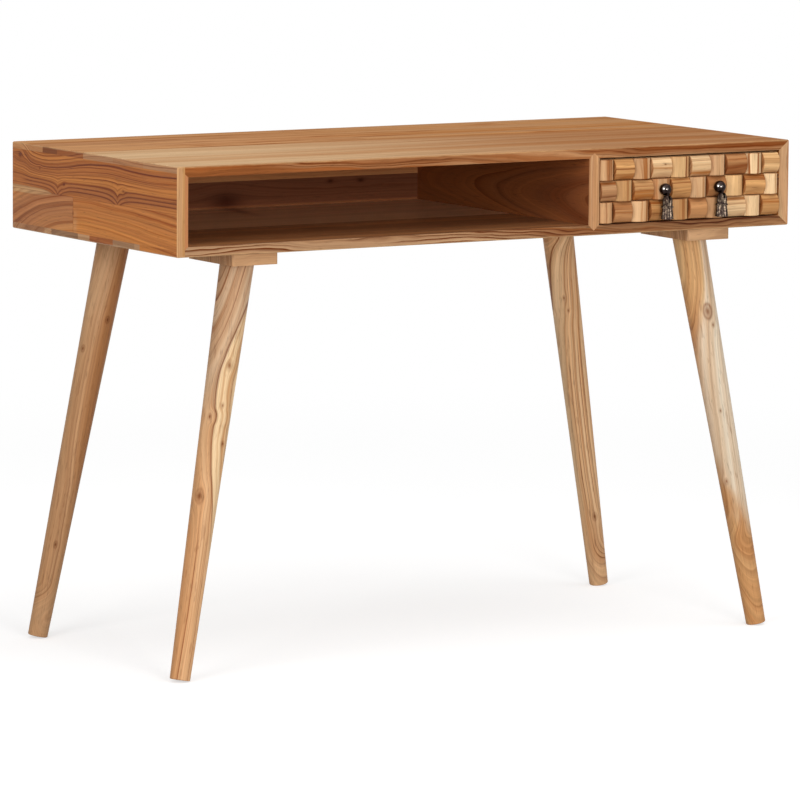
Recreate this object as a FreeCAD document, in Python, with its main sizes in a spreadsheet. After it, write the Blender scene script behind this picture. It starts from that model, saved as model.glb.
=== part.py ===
import FreeCAD
import Part
import math
import os
import Sketcher

# Writing desk: a mitred case with an open shelf and one basket-weave drawer, on four splayed legs.
# Millimetres, +Z up, +X toward the drawer end, and the open front faces -Y.
# The origin lies on the floor under the middle of the overall box, with the pulls counted in.

DIMENSIONS = {
    # Case
    "desk_height": 750.0,
    "case_width": 1070.0,
    "case_depth": 500.0,
    "case_height": 130.0,
    "side_thickness": 18.0,
    "board_thickness": 15.0,
    "back_thickness": 18.0,
    "divider_thickness": 18.0,
    "bay_width": 329.0,
    "vee_depth": 8.0,
    "corner_radius": 2.5,
    "arris_radius": 1.5,
    # Legs and the blocks that carry them
    "leg_top_diameter": 50.0,
    "leg_foot_diameter": 30.0,
    "leg_inset_side": 137.5,
    "leg_inset_front": 66.0,
    "leg_splay_side": 113.0,
    "leg_splay_front": 33.5,
    "foot_rounding": 1.5,
    "block_width": 76.0,
    "block_length": 130.0,
    "block_thickness": 18.0,
    "block_setback": 13.0,
    "block_rounding": 4.0,
    # Fixings of legs and blocks
    "bolt_diameter": 8.0,
    "bolt_bite": 45.0,
    "insert_diameter": 12.0,
    "insert_length": 14.0,
    "insert_cover": 1.8,
    "screw_diameter": 4.0,
    "screw_length": 27.0,
    "screw_head_diameter": 8.0,
    "screw_head_depth": 2.2,
    "screw_tip": 3.0,
    "screw_inset": 13.0,
    # Drawer box
    "drawer_side_gap": 1.5,
    "drawer_lower_gap": 1.5,
    "drawer_upper_gap": 2.5,
    "drawer_travel": 290.0,
    "drawer_front_thickness": 14.0,
    "drawer_side_thickness": 12.0,
    "drawer_side_clearance": 16.0,
    "drawer_back_thickness": 12.0,
    "drawer_back_clearance": 4.0,
    "drawer_bottom_thickness": 5.0,
    "housing_depth": 6.0,
    "groove_depth": 5.0,
    "groove_height": 8.0,
    "stop_thickness": 16.0,
    "stop_width": 30.0,
    "stop_height": 40.0,
    "catch_width": 220.0,
    "catch_depth": 20.0,
    "catch_drop": 9.0,
    "catch_gap": 0.5,
    # Basket-weave face, where the tiles of a row share the width in these proportions
    "weave_setback": 3.0,
    "tile_edge_thickness": 4.0,
    "tile_crown": 8.0,
    "tile_seam": 0.4,
    "upper_tile_1": 25.0,
    "upper_tile_2": 35.0,
    "upper_tile_3": 32.0,
    "upper_tile_4": 36.0,
    "upper_tile_5": 35.0,
    "upper_tile_6": 36.0,
    "upper_tile_7": 29.0,
    "upper_tile_8": 38.0,
    "upper_tile_9": 30.0,
    "upper_tile_10": 30.0,
    "middle_tile_1": 28.0,
    "middle_tile_2": 31.0,
    "middle_tile_3": 36.0,
    "middle_tile_4": 33.0,
    "middle_tile_5": 35.0,
    "middle_tile_6": 31.0,
    "middle_tile_7": 34.0,
    "middle_tile_8": 34.0,
    "middle_tile_9": 38.0,
    "middle_tile_10": 26.0,
    "lower_tile_1": 24.0,
    "lower_tile_2": 33.0,
    "lower_tile_3": 33.0,
    "lower_tile_4": 36.0,
    "lower_tile_5": 35.0,
    "lower_tile_6": 32.0,
    "lower_tile_7": 34.0,
    "lower_tile_8": 37.0,
    "lower_tile_9": 30.0,
    "lower_tile_10": 32.0,
    # Pulls
    "ball_diameter": 18.6,
    "knob_reach": 10.0,
    "lug_thickness": 3.6,
    "lug_width": 4.6,
    "knob_screw_diameter": 4.0,
    "knob_screw_bite": 7.0,
    "knob_screw_head_diameter": 8.0,
    "knob_screw_head_height": 2.6,
    "pin_diameter": 2.4,
    "pin_length": 10.4,
    "pin_clearance": 0.05,
    "pivot_drop": 12.0,
    "drop_reach": 15.5,
    "drop_length": 32.3,
    "drop_head_diameter": 14.0,
    "drop_crown_diameter": 9.0,
    "drop_head_rise": 3.0,
    "drop_shoulder": 2.5,
    "drop_slot_width": 4.4,
    "drop_slot_depth": 4.4,
    "drop_waist_diameter": 14.0,
    "drop_band_diameter": 16.0,
    "drop_band_height": 2.4,
    "drop_skirt_length": 17.0,
    "drop_flare_diameter": 19.5,
    "strand_count": 16,
    "strand_groove_diameter": 1.8,
}

# Places worked out from the driving dimensions
FRONT = "((dim.drop_reach + dim.drop_flare_diameter / 2 - dim.case_depth) / 2)"
BACK = f"({FRONT} + dim.case_depth)"
CASE_MIDDLE = f"({FRONT} + dim.case_depth / 2)"
LEFT_END = "(-dim.case_width / 2)"
CASE_FOOT = "(dim.desk_height - dim.case_height)"
BLOCK_FOOT = f"({CASE_FOOT} - dim.block_thickness)"
CASE_FLOOR = f"({CASE_FOOT} + dim.board_thickness)"
OPENING_HEIGHT = "(dim.case_height - 2 * dim.board_thickness)"
BACK_INSIDE = f"({BACK} - dim.back_thickness)"
BAY_LEFT = "(dim.case_width / 2 - dim.side_thickness - dim.bay_width)"
DIVIDER_LEFT = f"({BAY_LEFT} - dim.divider_thickness)"
FACE_LEFT = f"({BAY_LEFT} + dim.drawer_side_gap)"
FACE_WIDTH = "(dim.bay_width - 2 * dim.drawer_side_gap)"
FACE_FOOT = f"({CASE_FLOOR} + dim.drawer_lower_gap)"
FACE_HEIGHT = f"({OPENING_HEIGHT} - dim.drawer_lower_gap - dim.drawer_upper_gap)"
FACE_MIDDLE = f"({FACE_FOOT} + {FACE_HEIGHT} / 2)"
ROW_HEIGHT = f"({FACE_HEIGHT} / 3)"
TILE_FRONT = f"({FRONT} + dim.weave_setback - dim.tile_crown)"
TILE_THICKNESS = "(dim.tile_edge_thickness + dim.tile_crown)"
BOARD_FRONT = f"({TILE_FRONT} + {TILE_THICKNESS})"
BOARD_BACK = f"({BOARD_FRONT} + dim.drawer_front_thickness)"
SIDE_FRONT = f"({BOARD_BACK} - dim.housing_depth)"
DRAWER_END = f"({BACK_INSIDE} - dim.stop_thickness)"
DRAWER_INSIDE_LEFT = f"({FACE_LEFT} + dim.drawer_side_thickness)"
DRAWER_INSIDE_WIDTH = f"({FACE_WIDTH} - 2 * dim.drawer_side_thickness)"
DRAWER_BACK_FRONT = f"({DRAWER_END} - dim.drawer_back_thickness)"
DRAWER_BACK_FOOT = f"({CASE_FLOOR} + dim.groove_height + dim.drawer_bottom_thickness)"
DRAWER_BACK_TOP = f"({CASE_FLOOR} + {OPENING_HEIGHT} - dim.drawer_back_clearance)"
PIVOT_HEIGHT = f"({FACE_MIDDLE} - dim.pivot_drop)"

# Share of a panel's thickness at which its mitre meets the rounded corner of the case
MITRE_SHARE = (
    "(dim.corner_radius * (dim.side_thickness + dim.board_thickness"
    " - sqrt(2 * dim.side_thickness * dim.board_thickness))"
    " / (dim.side_thickness ^ 2 + dim.board_thickness ^ 2))"
)
TIP_ACROSS = f"(dim.side_thickness * {MITRE_SHARE})"
TIP_UP = f"(dim.board_thickness * {MITRE_SHARE})"

# The axis of a leg, from the floor to the underside of its block
LEG_SPREAD = "sqrt(dim.leg_splay_side ^ 2 + dim.leg_splay_front ^ 2)"
LEG_LENGTH = f"sqrt({LEG_SPREAD} ^ 2 + {BLOCK_FOOT} ^ 2)"
LEG_COSINE = f"({BLOCK_FOOT} / {LEG_LENGTH})"
LEG_SINE = f"({LEG_SPREAD} / {LEG_LENGTH})"

CORNERS = {
    "front_left": (-1, -1),
    "front_right": (1, -1),
    "back_left": (-1, 1),
    "back_right": (1, 1),
}
ROWS = ("lower", "middle", "upper")
KNOB_TILES = {"left": "middle_tile_4", "right": "middle_tile_7"}
SAME_PLACE = 0.001

document = FreeCAD.newDocument("WritingDesk")
sheet = document.addObject("Spreadsheet::Sheet", "dim")
for sheet_row, (alias, size) in enumerate(DIMENSIONS.items(), start=1):
    sheet.set(f"A{sheet_row}", alias.replace("_", " "))
    sheet.set(f"B{sheet_row}", str(size))
    sheet.setAlias(f"B{sheet_row}", alias)
document.recompute()
nodes = []


def number(owner, expression):
    """Present value of an expression over the sheet."""
    result = owner.evalExpression(expression)
    return float(getattr(result, "Value", result))


def place(item, across="0", along="0", up="0"):
    """Binds the position of an object to expressions."""
    item.setExpression("Placement.Base.x", across)
    item.setExpression("Placement.Base.y", along)
    item.setExpression("Placement.Base.z", up)


def pose(across, along, up, axis, angle):
    """Expression of a placement that turns an object about an axis and moves it."""
    base = f"create(<<vector>>; {across}; {along}; {up})"
    rotation = f"create(<<rotation>>; create(<<vector>>; {axis[0]}; {axis[1]}; {axis[2]}); {angle})"
    return f"create(<<placement>>; {base}; {rotation})"


def new_body(label):
    """An empty body under the name of its piece."""
    body = document.addObject("PartDesign::Body", label)
    body.Label = label
    return body


def origin_feature(body, role):
    """One of the body's own planes or axes."""
    return next(feature for feature in body.Origin.OriginFeatures if feature.Role == role)


def new_sketch(body, plane, offset=None):
    """A sketch on one of the body's own planes, moved along the plane's normal by an offset."""
    sketch = body.newObject("Sketcher::SketchObject", f"{body.Name}_sketch")
    sketch.AttachmentSupport = [(origin_feature(body, plane), "")]
    sketch.MapMode = "FlatFace"
    if offset:
        sketch.setExpression("AttachmentOffset.Base.z", offset)
    return sketch


def bind(sketch, constraint, expression):
    """Adds a constraint whose value follows an expression."""
    index = sketch.addConstraint(constraint)
    sketch.setExpression(f"Constraints[{index}]", expression)


def pin(sketch, vertex, spot, point):
    """Holds a vertex of a sketch at a pair of expressions."""
    for kind, axis, expression, value in (
        ("DistanceX", -2, spot[0], point.x),
        ("DistanceY", -1, spot[1], point.y),
    ):
        if expression == "0":
            sketch.addConstraint(Sketcher.Constraint("PointOnObject", *vertex, axis))
        else:
            bind(sketch, Sketcher.Constraint(kind, -1, 1, *vertex, value), expression)


def draw_outline(sketch, corners, arcs=None):
    """Draws a closed outline, anticlockwise, and pins each corner to its two expressions.

    arcs gives the radius of each outward arc under the number of the corner that it leaves.
    """
    arcs = arcs or {}
    points = [FreeCAD.Vector(number(sketch, a), number(sketch, b), 0) for a, b in corners]
    starts = []
    ends = []
    for index, start in enumerate(points):
        end = points[(index + 1) % len(points)]
        if index in arcs:
            chord = end - start
            radius = number(sketch, arcs[index])
            rise = radius - math.sqrt(radius ** 2 - chord.Length ** 2 / 4)
            outward = FreeCAD.Vector(chord.y, -chord.x, 0).normalize()
            edge = sketch.addGeometry(Part.Arc(start, (start + end) * 0.5 + outward * rise, end))
        else:
            edge = sketch.addGeometry(Part.LineSegment(start, end))
        starts.append((edge, 1))
        ends.append((edge, 2))
    for index, corner in enumerate(corners):
        sketch.addConstraint(Sketcher.Constraint("Coincident", *ends[index - 1], *starts[index]))
        pin(sketch, starts[index], corner, points[index])
    for index, radius in arcs.items():
        bind(sketch, Sketcher.Constraint("Radius", starts[index][0], number(sketch, radius)), radius)


def draw_circle(sketch, across, up, diameter):
    """Draws a circle whose centre and diameter follow expressions."""
    centre = FreeCAD.Vector(number(sketch, across), number(sketch, up), 0)
    width = number(sketch, diameter)
    circle = sketch.addGeometry(Part.Circle(centre, FreeCAD.Vector(0, 0, 1), width / 2))
    pin(sketch, (circle, 3), (across, up), centre)
    bind(sketch, Sketcher.Constraint("Diameter", circle, width), diameter)


def rectangle(left, low, right, high):
    """Corners of a rectangle between four expressions."""
    return [(left, low), (right, low), (right, high), (left, high)]


def flipped(corners, arcs, axis, span):
    """The same outline turned over inside a span along one axis, still anticlockwise."""
    turned = []
    for corner in reversed(corners):
        spot = list(corner)
        spot[axis] = f"{span} - ({spot[axis]})"
        turned.append(tuple(spot))
    count = len(corners)
    return turned, {(count - 2 - index) % count: radius for index, radius in arcs.items()}


def extrude(body, plane, corners, length, arcs=None, offset=None):
    """Pads an outline: from front to back on XZ, to the right on YZ and upward on XY."""
    sketch = new_sketch(body, plane, offset)
    draw_outline(sketch, corners, arcs)
    feature = body.newObject("PartDesign::Pad", f"{body.Name}_pad")
    feature.Profile = sketch
    feature.setExpression("Length", length)
    feature.Reversed = plane == "XZ_Plane"
    return feature


def turn(body, corners, arcs=None, plane="XZ_Plane", axis="V_Axis"):
    """Revolves an outline once round an axis of its own sketch."""
    sketch = new_sketch(body, plane)
    draw_outline(sketch, corners, arcs)
    feature = body.newObject("PartDesign::Revolution", f"{body.Name}_turning")
    feature.Profile = sketch
    feature.ReferenceAxis = (sketch, [axis])
    feature.Angle = 360.0
    return feature


def pocket(body, sketch, reverse=False, length=None):
    """Cuts a drawn outline for a given length, or right through the body."""
    feature = body.newObject("PartDesign::Pocket", f"{body.Name}_cut")
    feature.Profile = sketch
    feature.Reversed = reverse
    if length:
        feature.setExpression("Length", length)
    else:
        feature.Type = "ThroughAll"
    return feature


def round_edges(body, radius, chosen):
    """Rounds the edges of the body that a test picks out."""
    document.recompute()
    tip = body.Tip
    names = [f"Edge{n}" for n, edge in enumerate(tip.Shape.Edges, start=1) if chosen(edge)]
    feature = body.newObject("PartDesign::Fillet", f"{body.Name}_rounding")
    feature.Base = (tip, names)
    feature.setExpression("Radius", radius)


def group(label, members):
    """Like pieces gathered as separate solids."""
    compound = document.addObject("Part::Compound", label)
    compound.Label = label
    compound.Links = members
    return compound


def carve(label, base, *tools):
    """The base less each tool in turn."""
    for tool in tools:
        remainder = document.addObject("Part::Cut", f"{label}_less_{tool.Name}")
        remainder.Base = base
        remainder.Tool = tool
        base = remainder
    base.Label = label
    return base


def block(label, across, along, up, width, depth, height):
    """A plain square-cut piece of wood."""
    body = new_body(label)
    extrude(body, "XZ_Plane", rectangle("0", "0", width, height), depth)
    place(body, across, along, up)
    return body


# Case panels
def case_panel(label, corners, arcs, outside, spot):
    """A mitred panel of the case with its outer front and back arrises rounded.

    outside measures how far a point lies from the panel's outer face.
    """
    body = new_body(label)
    extrude(body, "XZ_Plane", corners, "dim.case_depth", arcs)
    depth = number(body, "dim.case_depth")
    corner = number(body, "dim.corner_radius")

    def on_outer_arris(edge):
        planes = {round(vertex.Y, 6) for vertex in edge.Vertexes}
        return planes in ({0.0}, {round(depth, 6)}) and outside(edge.CenterOfMass) < corner

    round_edges(body, "dim.arris_radius", on_outer_arris)
    place(body, *spot)
    return body


def make_case():
    """Top, bottom, sides, divider and back."""
    notch = f"({DIVIDER_LEFT} - {LEFT_END})"
    lid = [
        ("dim.side_thickness", "0"),
        (notch, "0"),
        (f"{notch} + dim.divider_thickness / 2", "dim.vee_depth"),
        (f"{notch} + dim.divider_thickness", "0"),
        ("dim.case_width - dim.side_thickness", "0"),
        (f"dim.case_width - {TIP_ACROSS}", f"dim.board_thickness - {TIP_UP}"),
        ("dim.case_width - dim.corner_radius", "dim.board_thickness"),
        ("dim.corner_radius", "dim.board_thickness"),
        (TIP_ACROSS, f"dim.board_thickness - {TIP_UP}"),
    ]
    lid_arcs = {5: "dim.corner_radius", 7: "dim.corner_radius"}
    wall = [
        (TIP_ACROSS, TIP_UP),
        ("dim.side_thickness", "dim.board_thickness"),
        ("dim.side_thickness", "dim.case_height - dim.board_thickness"),
        (TIP_ACROSS, f"dim.case_height - {TIP_UP}"),
        ("0", "dim.case_height - dim.corner_radius"),
        ("0", "dim.corner_radius"),
    ]
    wall_arcs = {3: "dim.corner_radius", 5: "dim.corner_radius"}
    board = number(sheet, "board_thickness")
    side = number(sheet, "side_thickness")

    nodes.append(case_panel(
        "top_panel", lid, lid_arcs, lambda point: board - point.z,
        (LEFT_END, FRONT, "dim.desk_height - dim.board_thickness")))
    floor_panel = case_panel(
        "bottom_panel_blank", *flipped(lid, lid_arcs, 1, "dim.board_thickness"), lambda point: point.z,
        (LEFT_END, FRONT, CASE_FOOT))
    nodes.append(case_panel(
        "left_side", wall, wall_arcs, lambda point: point.x, (LEFT_END, FRONT, CASE_FOOT)))
    nodes.append(case_panel(
        "right_side", *flipped(wall, wall_arcs, 0, "dim.side_thickness"), lambda point: side - point.x,
        ("dim.case_width / 2 - dim.side_thickness", FRONT, CASE_FOOT)))

    divider = new_body("divider")
    shoulder = f"dim.vee_depth + {OPENING_HEIGHT}"
    extrude(divider, "XZ_Plane", [
        ("0", "dim.vee_depth"),
        ("dim.divider_thickness / 2", "0"),
        ("dim.divider_thickness", "dim.vee_depth"),
        ("dim.divider_thickness", shoulder),
        ("dim.divider_thickness / 2", f"{shoulder} + dim.vee_depth"),
        ("0", shoulder),
    ], "dim.case_depth")
    # Only the two points run on past the back panel, to the back ends of their grooves
    gap = new_sketch(divider, "YZ_Plane")
    draw_outline(gap, rectangle("dim.case_depth - dim.back_thickness", "dim.vee_depth", "dim.case_depth", shoulder))
    pocket(divider, gap, reverse=True)
    place(divider, DIVIDER_LEFT, FRONT, f"{CASE_FLOOR} - dim.vee_depth")
    nodes.append(divider)

    nodes.append(block(
        "back_panel", f"{LEFT_END} + dim.side_thickness", BACK_INSIDE, CASE_FLOOR,
        "dim.case_width - 2 * dim.side_thickness", "dim.back_thickness", OPENING_HEIGHT))
    return floor_panel


# Legs, their blocks and fixings
def wood_screw(label, across, along, up):
    """A countersunk screw driven upward, with its head flush at the given point."""
    body = new_body(label)
    turn(body, [
        ("0", "0"),
        ("dim.screw_head_diameter / 2", "0"),
        ("dim.screw_diameter / 2", "dim.screw_head_depth"),
        ("dim.screw_diameter / 2", "dim.screw_length - dim.screw_tip"),
        ("0", "dim.screw_length"),
    ])
    place(body, across, along, up)
    return body


def make_legs(floor_panel):
    """Four splayed legs, each bolted into a block that is screwed under the case."""
    bolts = []
    inserts = []
    screws = []
    for corner, (side, end) in CORNERS.items():
        top_x = f"{side} * (dim.case_width / 2 - dim.leg_inset_side)"
        top_y = f"{CASE_MIDDLE} + {end} * (dim.case_depth / 2 - dim.leg_inset_front)"
        along_leg = pose(
            f"{top_x} + {side} * dim.leg_splay_side", f"{top_y} + {end} * dim.leg_splay_front", "0",
            (f"{end} * dim.leg_splay_front", f"{-side} * dim.leg_splay_side", "0"), f"acos({LEG_COSINE})")

        bolt = new_body(f"{corner}_bolt")
        insert_top = f"{LEG_LENGTH} + dim.insert_cover + dim.insert_length"
        turn(bolt, rectangle("0", f"{LEG_LENGTH} - dim.bolt_bite", "dim.bolt_diameter / 2", insert_top))
        bolt.setExpression("Placement", along_leg)
        bolts.append(bolt)

        insert = new_body(f"{corner}_insert")
        turn(insert, rectangle(
            "dim.bolt_diameter / 2", f"{LEG_LENGTH} + dim.insert_cover", "dim.insert_diameter / 2", insert_top))
        insert.setExpression("Placement", along_leg)
        inserts.append(insert)

        shaft = new_body(f"{corner}_shaft")
        lift = (
            f"((dim.foot_rounding * (1 - {LEG_COSINE})"
            f" + (dim.leg_foot_diameter / 2 - dim.foot_rounding) * {LEG_SINE}) / {LEG_COSINE})"
        )
        spare = f"(dim.leg_top_diameter * {LEG_SINE})"
        taper = f"((dim.leg_top_diameter - dim.leg_foot_diameter) / 2 / ({LEG_LENGTH} - {lift}))"
        turn(shaft, [
            ("0", lift),
            ("dim.leg_foot_diameter / 2", lift),
            (f"dim.leg_top_diameter / 2 + {taper} * {spare}", f"{LEG_LENGTH} + {spare}"),
            ("0", f"{LEG_LENGTH} + {spare}"),
        ])
        low = number(shaft, lift)
        round_edges(shaft, "dim.foot_rounding", lambda edge: abs(edge.BoundBox.ZMax - low) < SAME_PLACE)
        shaft.setExpression("Placement", along_leg)

        waste = document.addObject("Part::Box", f"{corner}_waste")
        for size_name in ("Length", "Width", "Height"):
            waste.setExpression(size_name, "2 * dim.leg_top_diameter")
        place(waste, f"{top_x} - dim.leg_top_diameter", f"{top_y} - dim.leg_top_diameter", BLOCK_FOOT)
        nodes.append(carve(f"{corner}_leg", shaft, waste, bolt))

        blank = new_body(f"{corner}_block_blank")
        extrude(blank, "XY_Plane", rectangle(
            "-dim.block_width / 2", "-dim.block_length / 2", "dim.block_width / 2", "dim.block_length / 2",
        ), "dim.block_thickness")
        thickness = number(blank, "dim.block_thickness")
        round_edges(blank, "dim.block_rounding", lambda edge: abs(edge.BoundBox.ZLength - thickness) < SAME_PLACE)
        block_y = f"{CASE_MIDDLE} + {end} * (dim.case_depth / 2 - dim.block_setback - dim.block_length / 2)"
        place(blank, top_x, block_y, BLOCK_FOOT)

        reach = "(dim.block_length / 2 - dim.screw_inset)"
        pair = [
            wood_screw(f"{corner}_screw_{name}", top_x, f"{block_y} {sign} {reach}", BLOCK_FOOT)
            for name, sign in (("near", "-"), ("far", "+"))
        ]
        screws.extend(pair)
        nodes.append(carve(f"{corner}_leg_block", blank, bolt, insert, *pair))

    block_screws = group("block_screws", screws)
    nodes.append(group("hanger_bolts", bolts))
    nodes.append(group("threaded_inserts", inserts))
    nodes.append(block_screws)
    nodes.append(carve("bottom_panel", floor_panel, block_screws))


# Drawer box
def make_drawer_box(knob_screws):
    """Front board, grooved sides, back and bottom of the drawer, and the stops in its bay."""
    board = new_body("drawer_front_blank")
    shoulder = "dim.drawer_front_thickness - dim.housing_depth"
    inner_right = f"{FACE_WIDTH} - dim.drawer_side_thickness"
    extrude(board, "XY_Plane", [
        ("0", "0"),
        (FACE_WIDTH, "0"),
        (FACE_WIDTH, shoulder),
        (inner_right, shoulder),
        (inner_right, "dim.drawer_front_thickness"),
        ("dim.drawer_side_thickness", "dim.drawer_front_thickness"),
        ("dim.drawer_side_thickness", shoulder),
        ("0", shoulder),
    ], FACE_HEIGHT)
    groove_low = "(dim.groove_height - dim.drawer_lower_gap)"
    sketch = new_sketch(board, "YZ_Plane", "dim.drawer_side_thickness")
    draw_outline(sketch, rectangle(
        "dim.drawer_front_thickness - dim.groove_depth", groove_low,
        "dim.drawer_front_thickness", f"{groove_low} + dim.drawer_bottom_thickness"))
    pocket(board, sketch, reverse=True, length=DRAWER_INSIDE_WIDTH)
    place(board, FACE_LEFT, BOARD_FRONT, FACE_FOOT)
    nodes.append(carve("drawer_front", board, knob_screws))

    ledge = "dim.groove_height + dim.drawer_bottom_thickness"
    inset = "dim.drawer_side_thickness - dim.groove_depth"
    side_height = f"{OPENING_HEIGHT} - dim.drawer_side_clearance"
    cheek = [
        ("0", "0"),
        ("dim.drawer_side_thickness", "0"),
        ("dim.drawer_side_thickness", "dim.groove_height"),
        (inset, "dim.groove_height"),
        (inset, ledge),
        ("dim.drawer_side_thickness", ledge),
        ("dim.drawer_side_thickness", side_height),
        ("0", side_height),
    ]
    for label, corners, across in (
        ("drawer_left_side", cheek, FACE_LEFT),
        ("drawer_right_side", flipped(cheek, {}, 0, "dim.drawer_side_thickness")[0],
         f"{DRAWER_INSIDE_LEFT} + {DRAWER_INSIDE_WIDTH}"),
    ):
        body = new_body(label)
        extrude(body, "XZ_Plane", corners, f"{DRAWER_END} - {SIDE_FRONT}")
        place(body, across, SIDE_FRONT, CASE_FLOOR)
        nodes.append(body)

    nodes.append(block(
        "drawer_back", DRAWER_INSIDE_LEFT, DRAWER_BACK_FRONT, DRAWER_BACK_FOOT,
        DRAWER_INSIDE_WIDTH, "dim.drawer_back_thickness", f"{DRAWER_BACK_TOP} - {DRAWER_BACK_FOOT}"))
    nodes.append(block(
        "drawer_bottom", f"{DRAWER_INSIDE_LEFT} - dim.groove_depth", f"{BOARD_BACK} - dim.groove_depth",
        f"{CASE_FLOOR} + dim.groove_height", f"{DRAWER_INSIDE_WIDTH} + 2 * dim.groove_depth",
        f"{DRAWER_END} - {BOARD_BACK} + dim.groove_depth", "dim.drawer_bottom_thickness"))

    stops = [
        block(f"{name}_stop", across, DRAWER_END, CASE_FLOOR, "dim.stop_width", "dim.stop_thickness",
              "dim.stop_height")
        for name, across in (
            ("left", BAY_LEFT),
            ("right", f"{BAY_LEFT} + dim.bay_width - dim.stop_width"),
        )
    ]
    nodes.append(group("drawer_stops", stops))
    nodes.append(block(
        "pull_out_catch", f"{BAY_LEFT} + (dim.bay_width - dim.catch_width) / 2",
        f"{DRAWER_BACK_FRONT} - dim.drawer_travel - dim.catch_gap - dim.catch_depth",
        f"{CASE_FLOOR} + {OPENING_HEIGHT} - dim.catch_drop",
        "dim.catch_width", "dim.catch_depth", "dim.catch_drop"))


# Basket-weave tiles
def row_tiles(row):
    """Sheet names of the tiles in a row, from left to right."""
    return [name for name in DIMENSIONS if name.startswith(f"{row}_tile_")]


def share_of_face(row, names):
    """Width that some of a row's tiles take of the whole face."""
    taken = " + ".join(f"dim.{name}" for name in names)
    whole = " + ".join(f"dim.{name}" for name in row_tiles(row))
    return f"({FACE_WIDTH} * ({taken}) / ({whole}))"


def tile_left(row, tile):
    """Distance from the left end of the face to a tile."""
    names = row_tiles(row)
    before = names[:names.index(tile)]
    return share_of_face(row, before) if before else "0"


def crown_radius(chord):
    """Radius of the arc that rises by the crown over a chord."""
    return f"((({chord}) ^ 2 / 4 + dim.tile_crown ^ 2) / (2 * dim.tile_crown))"


def make_tile(row, level, tile, upright):
    """One crowned tile: the crown's axis stands on an upright tile and lies on a level one."""
    body = new_body(f"{tile}_body")
    width = f"({share_of_face(row, [tile])} - dim.tile_seam)"
    height = f"({ROW_HEIGHT} - dim.tile_seam)"
    if upright:
        extrude(body, "XY_Plane", [
            ("0", "dim.tile_crown"),
            (width, "dim.tile_crown"),
            (width, TILE_THICKNESS),
            ("0", TILE_THICKNESS),
        ], height, {0: crown_radius(width)})
    else:
        extrude(body, "YZ_Plane", [
            ("dim.tile_crown", "0"),
            (TILE_THICKNESS, "0"),
            (TILE_THICKNESS, height),
            ("dim.tile_crown", height),
        ], width, {3: crown_radius(height)})
    place(
        body, f"{FACE_LEFT} + {tile_left(row, tile)} + dim.tile_seam / 2", TILE_FRONT,
        f"{FACE_FOOT} + {level} * {ROW_HEIGHT} + dim.tile_seam / 2")
    return body


def make_weave(knob_screws):
    """Three rows of tiles whose grain turns from tile to tile."""
    for level, row in enumerate(ROWS):
        tiles = {"upright": [], "level": []}
        for position, tile in enumerate(row_tiles(row)):
            upright = (position + level) % 2 == 0
            tiles["upright" if upright else "level"].append(make_tile(row, level, tile, upright))
        for grain, members in tiles.items():
            label = f"{row}_row_{grain}_tiles"
            if row == "middle":
                nodes.append(carve(label, group(f"{label}_blank", members), knob_screws))
            else:
                nodes.append(group(label, members))


# Pulls
def knob_middle(name):
    """Position of a knob across the desk, at the middle of its tile."""
    tile = KNOB_TILES[name]
    return f"({FACE_LEFT} + {tile_left('middle', tile)} + {share_of_face('middle', [tile])} / 2)"


def make_knob_screws():
    """Screws that hold the knobs from inside the drawer."""
    screws = []
    for name in KNOB_TILES:
        body = new_body(f"{name}_knob_screw")
        shank = f"dim.drawer_front_thickness + {TILE_THICKNESS} + dim.knob_screw_bite"
        turn(body, [
            ("0", "-dim.knob_screw_head_height"),
            ("dim.knob_screw_head_diameter / 2", "-dim.knob_screw_head_height"),
            ("dim.knob_screw_head_diameter / 2", "0"),
            ("dim.knob_screw_diameter / 2", "0"),
            ("dim.knob_screw_diameter / 2", shank),
            ("0", shank),
        ])
        body.setExpression("Placement", pose(knob_middle(name), BOARD_BACK, FACE_MIDDLE, ("1", "0", "0"), "90"))
        screws.append(body)
    return group("knob_screws", screws)


def make_pulls(knob_screws):
    """Ball knobs, the tassel drops that hang from them and the pins between the two."""
    pins = []
    for name in KNOB_TILES:
        body = new_body(f"{name}_drop_pin")
        turn(body, rectangle("-dim.pin_length / 2", "0", "dim.pin_length / 2", "dim.pin_diameter / 2"),
             plane="XY_Plane", axis="H_Axis")
        place(body, knob_middle(name), f"{FRONT} - dim.drop_reach", PIVOT_HEIGHT)
        pins.append(body)
    drop_pins = group("drop_pins", pins)
    for name in KNOB_TILES:
        nodes.append(carve(f"{name}_knob", make_ball(name), knob_screws, drop_pins))
        nodes.append(make_drop(name))
    nodes.append(knob_screws)
    nodes.append(drop_pins)


def make_ball(name):
    """A ball with a flat seat on the tile and a lug under its front for the pin."""
    body = new_body(f"{name}_ball")
    seat = "(dim.knob_reach + dim.weave_setback - dim.tile_crown)"
    radius = "(dim.ball_diameter / 2)"
    turn(body, [
        (f"-{radius}", "0"),
        (seat, "0"),
        (seat, f"sqrt({radius} ^ 2 - {seat} ^ 2)"),
    ], {2: radius}, plane="YZ_Plane", axis="H_Axis")
    ahead = "(dim.knob_reach - dim.drop_reach)"
    edge = "-dim.lug_thickness / 2"
    extrude(body, "YZ_Plane", rectangle(
        f"{ahead} - dim.lug_width / 2", "-dim.pivot_drop", f"{ahead} + dim.lug_width / 2", f"{radius} * -0.5",
    ), "dim.lug_thickness", offset=edge)
    sketch = new_sketch(body, "YZ_Plane", edge)
    draw_circle(sketch, ahead, "-dim.pivot_drop", "dim.lug_width")
    eye = body.newObject("PartDesign::Pad", f"{body.Name}_eye")
    eye.Profile = sketch
    eye.setExpression("Length", "dim.lug_thickness")
    place(body, knob_middle(name), f"{FRONT} - dim.knob_reach", FACE_MIDDLE)
    return body


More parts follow.
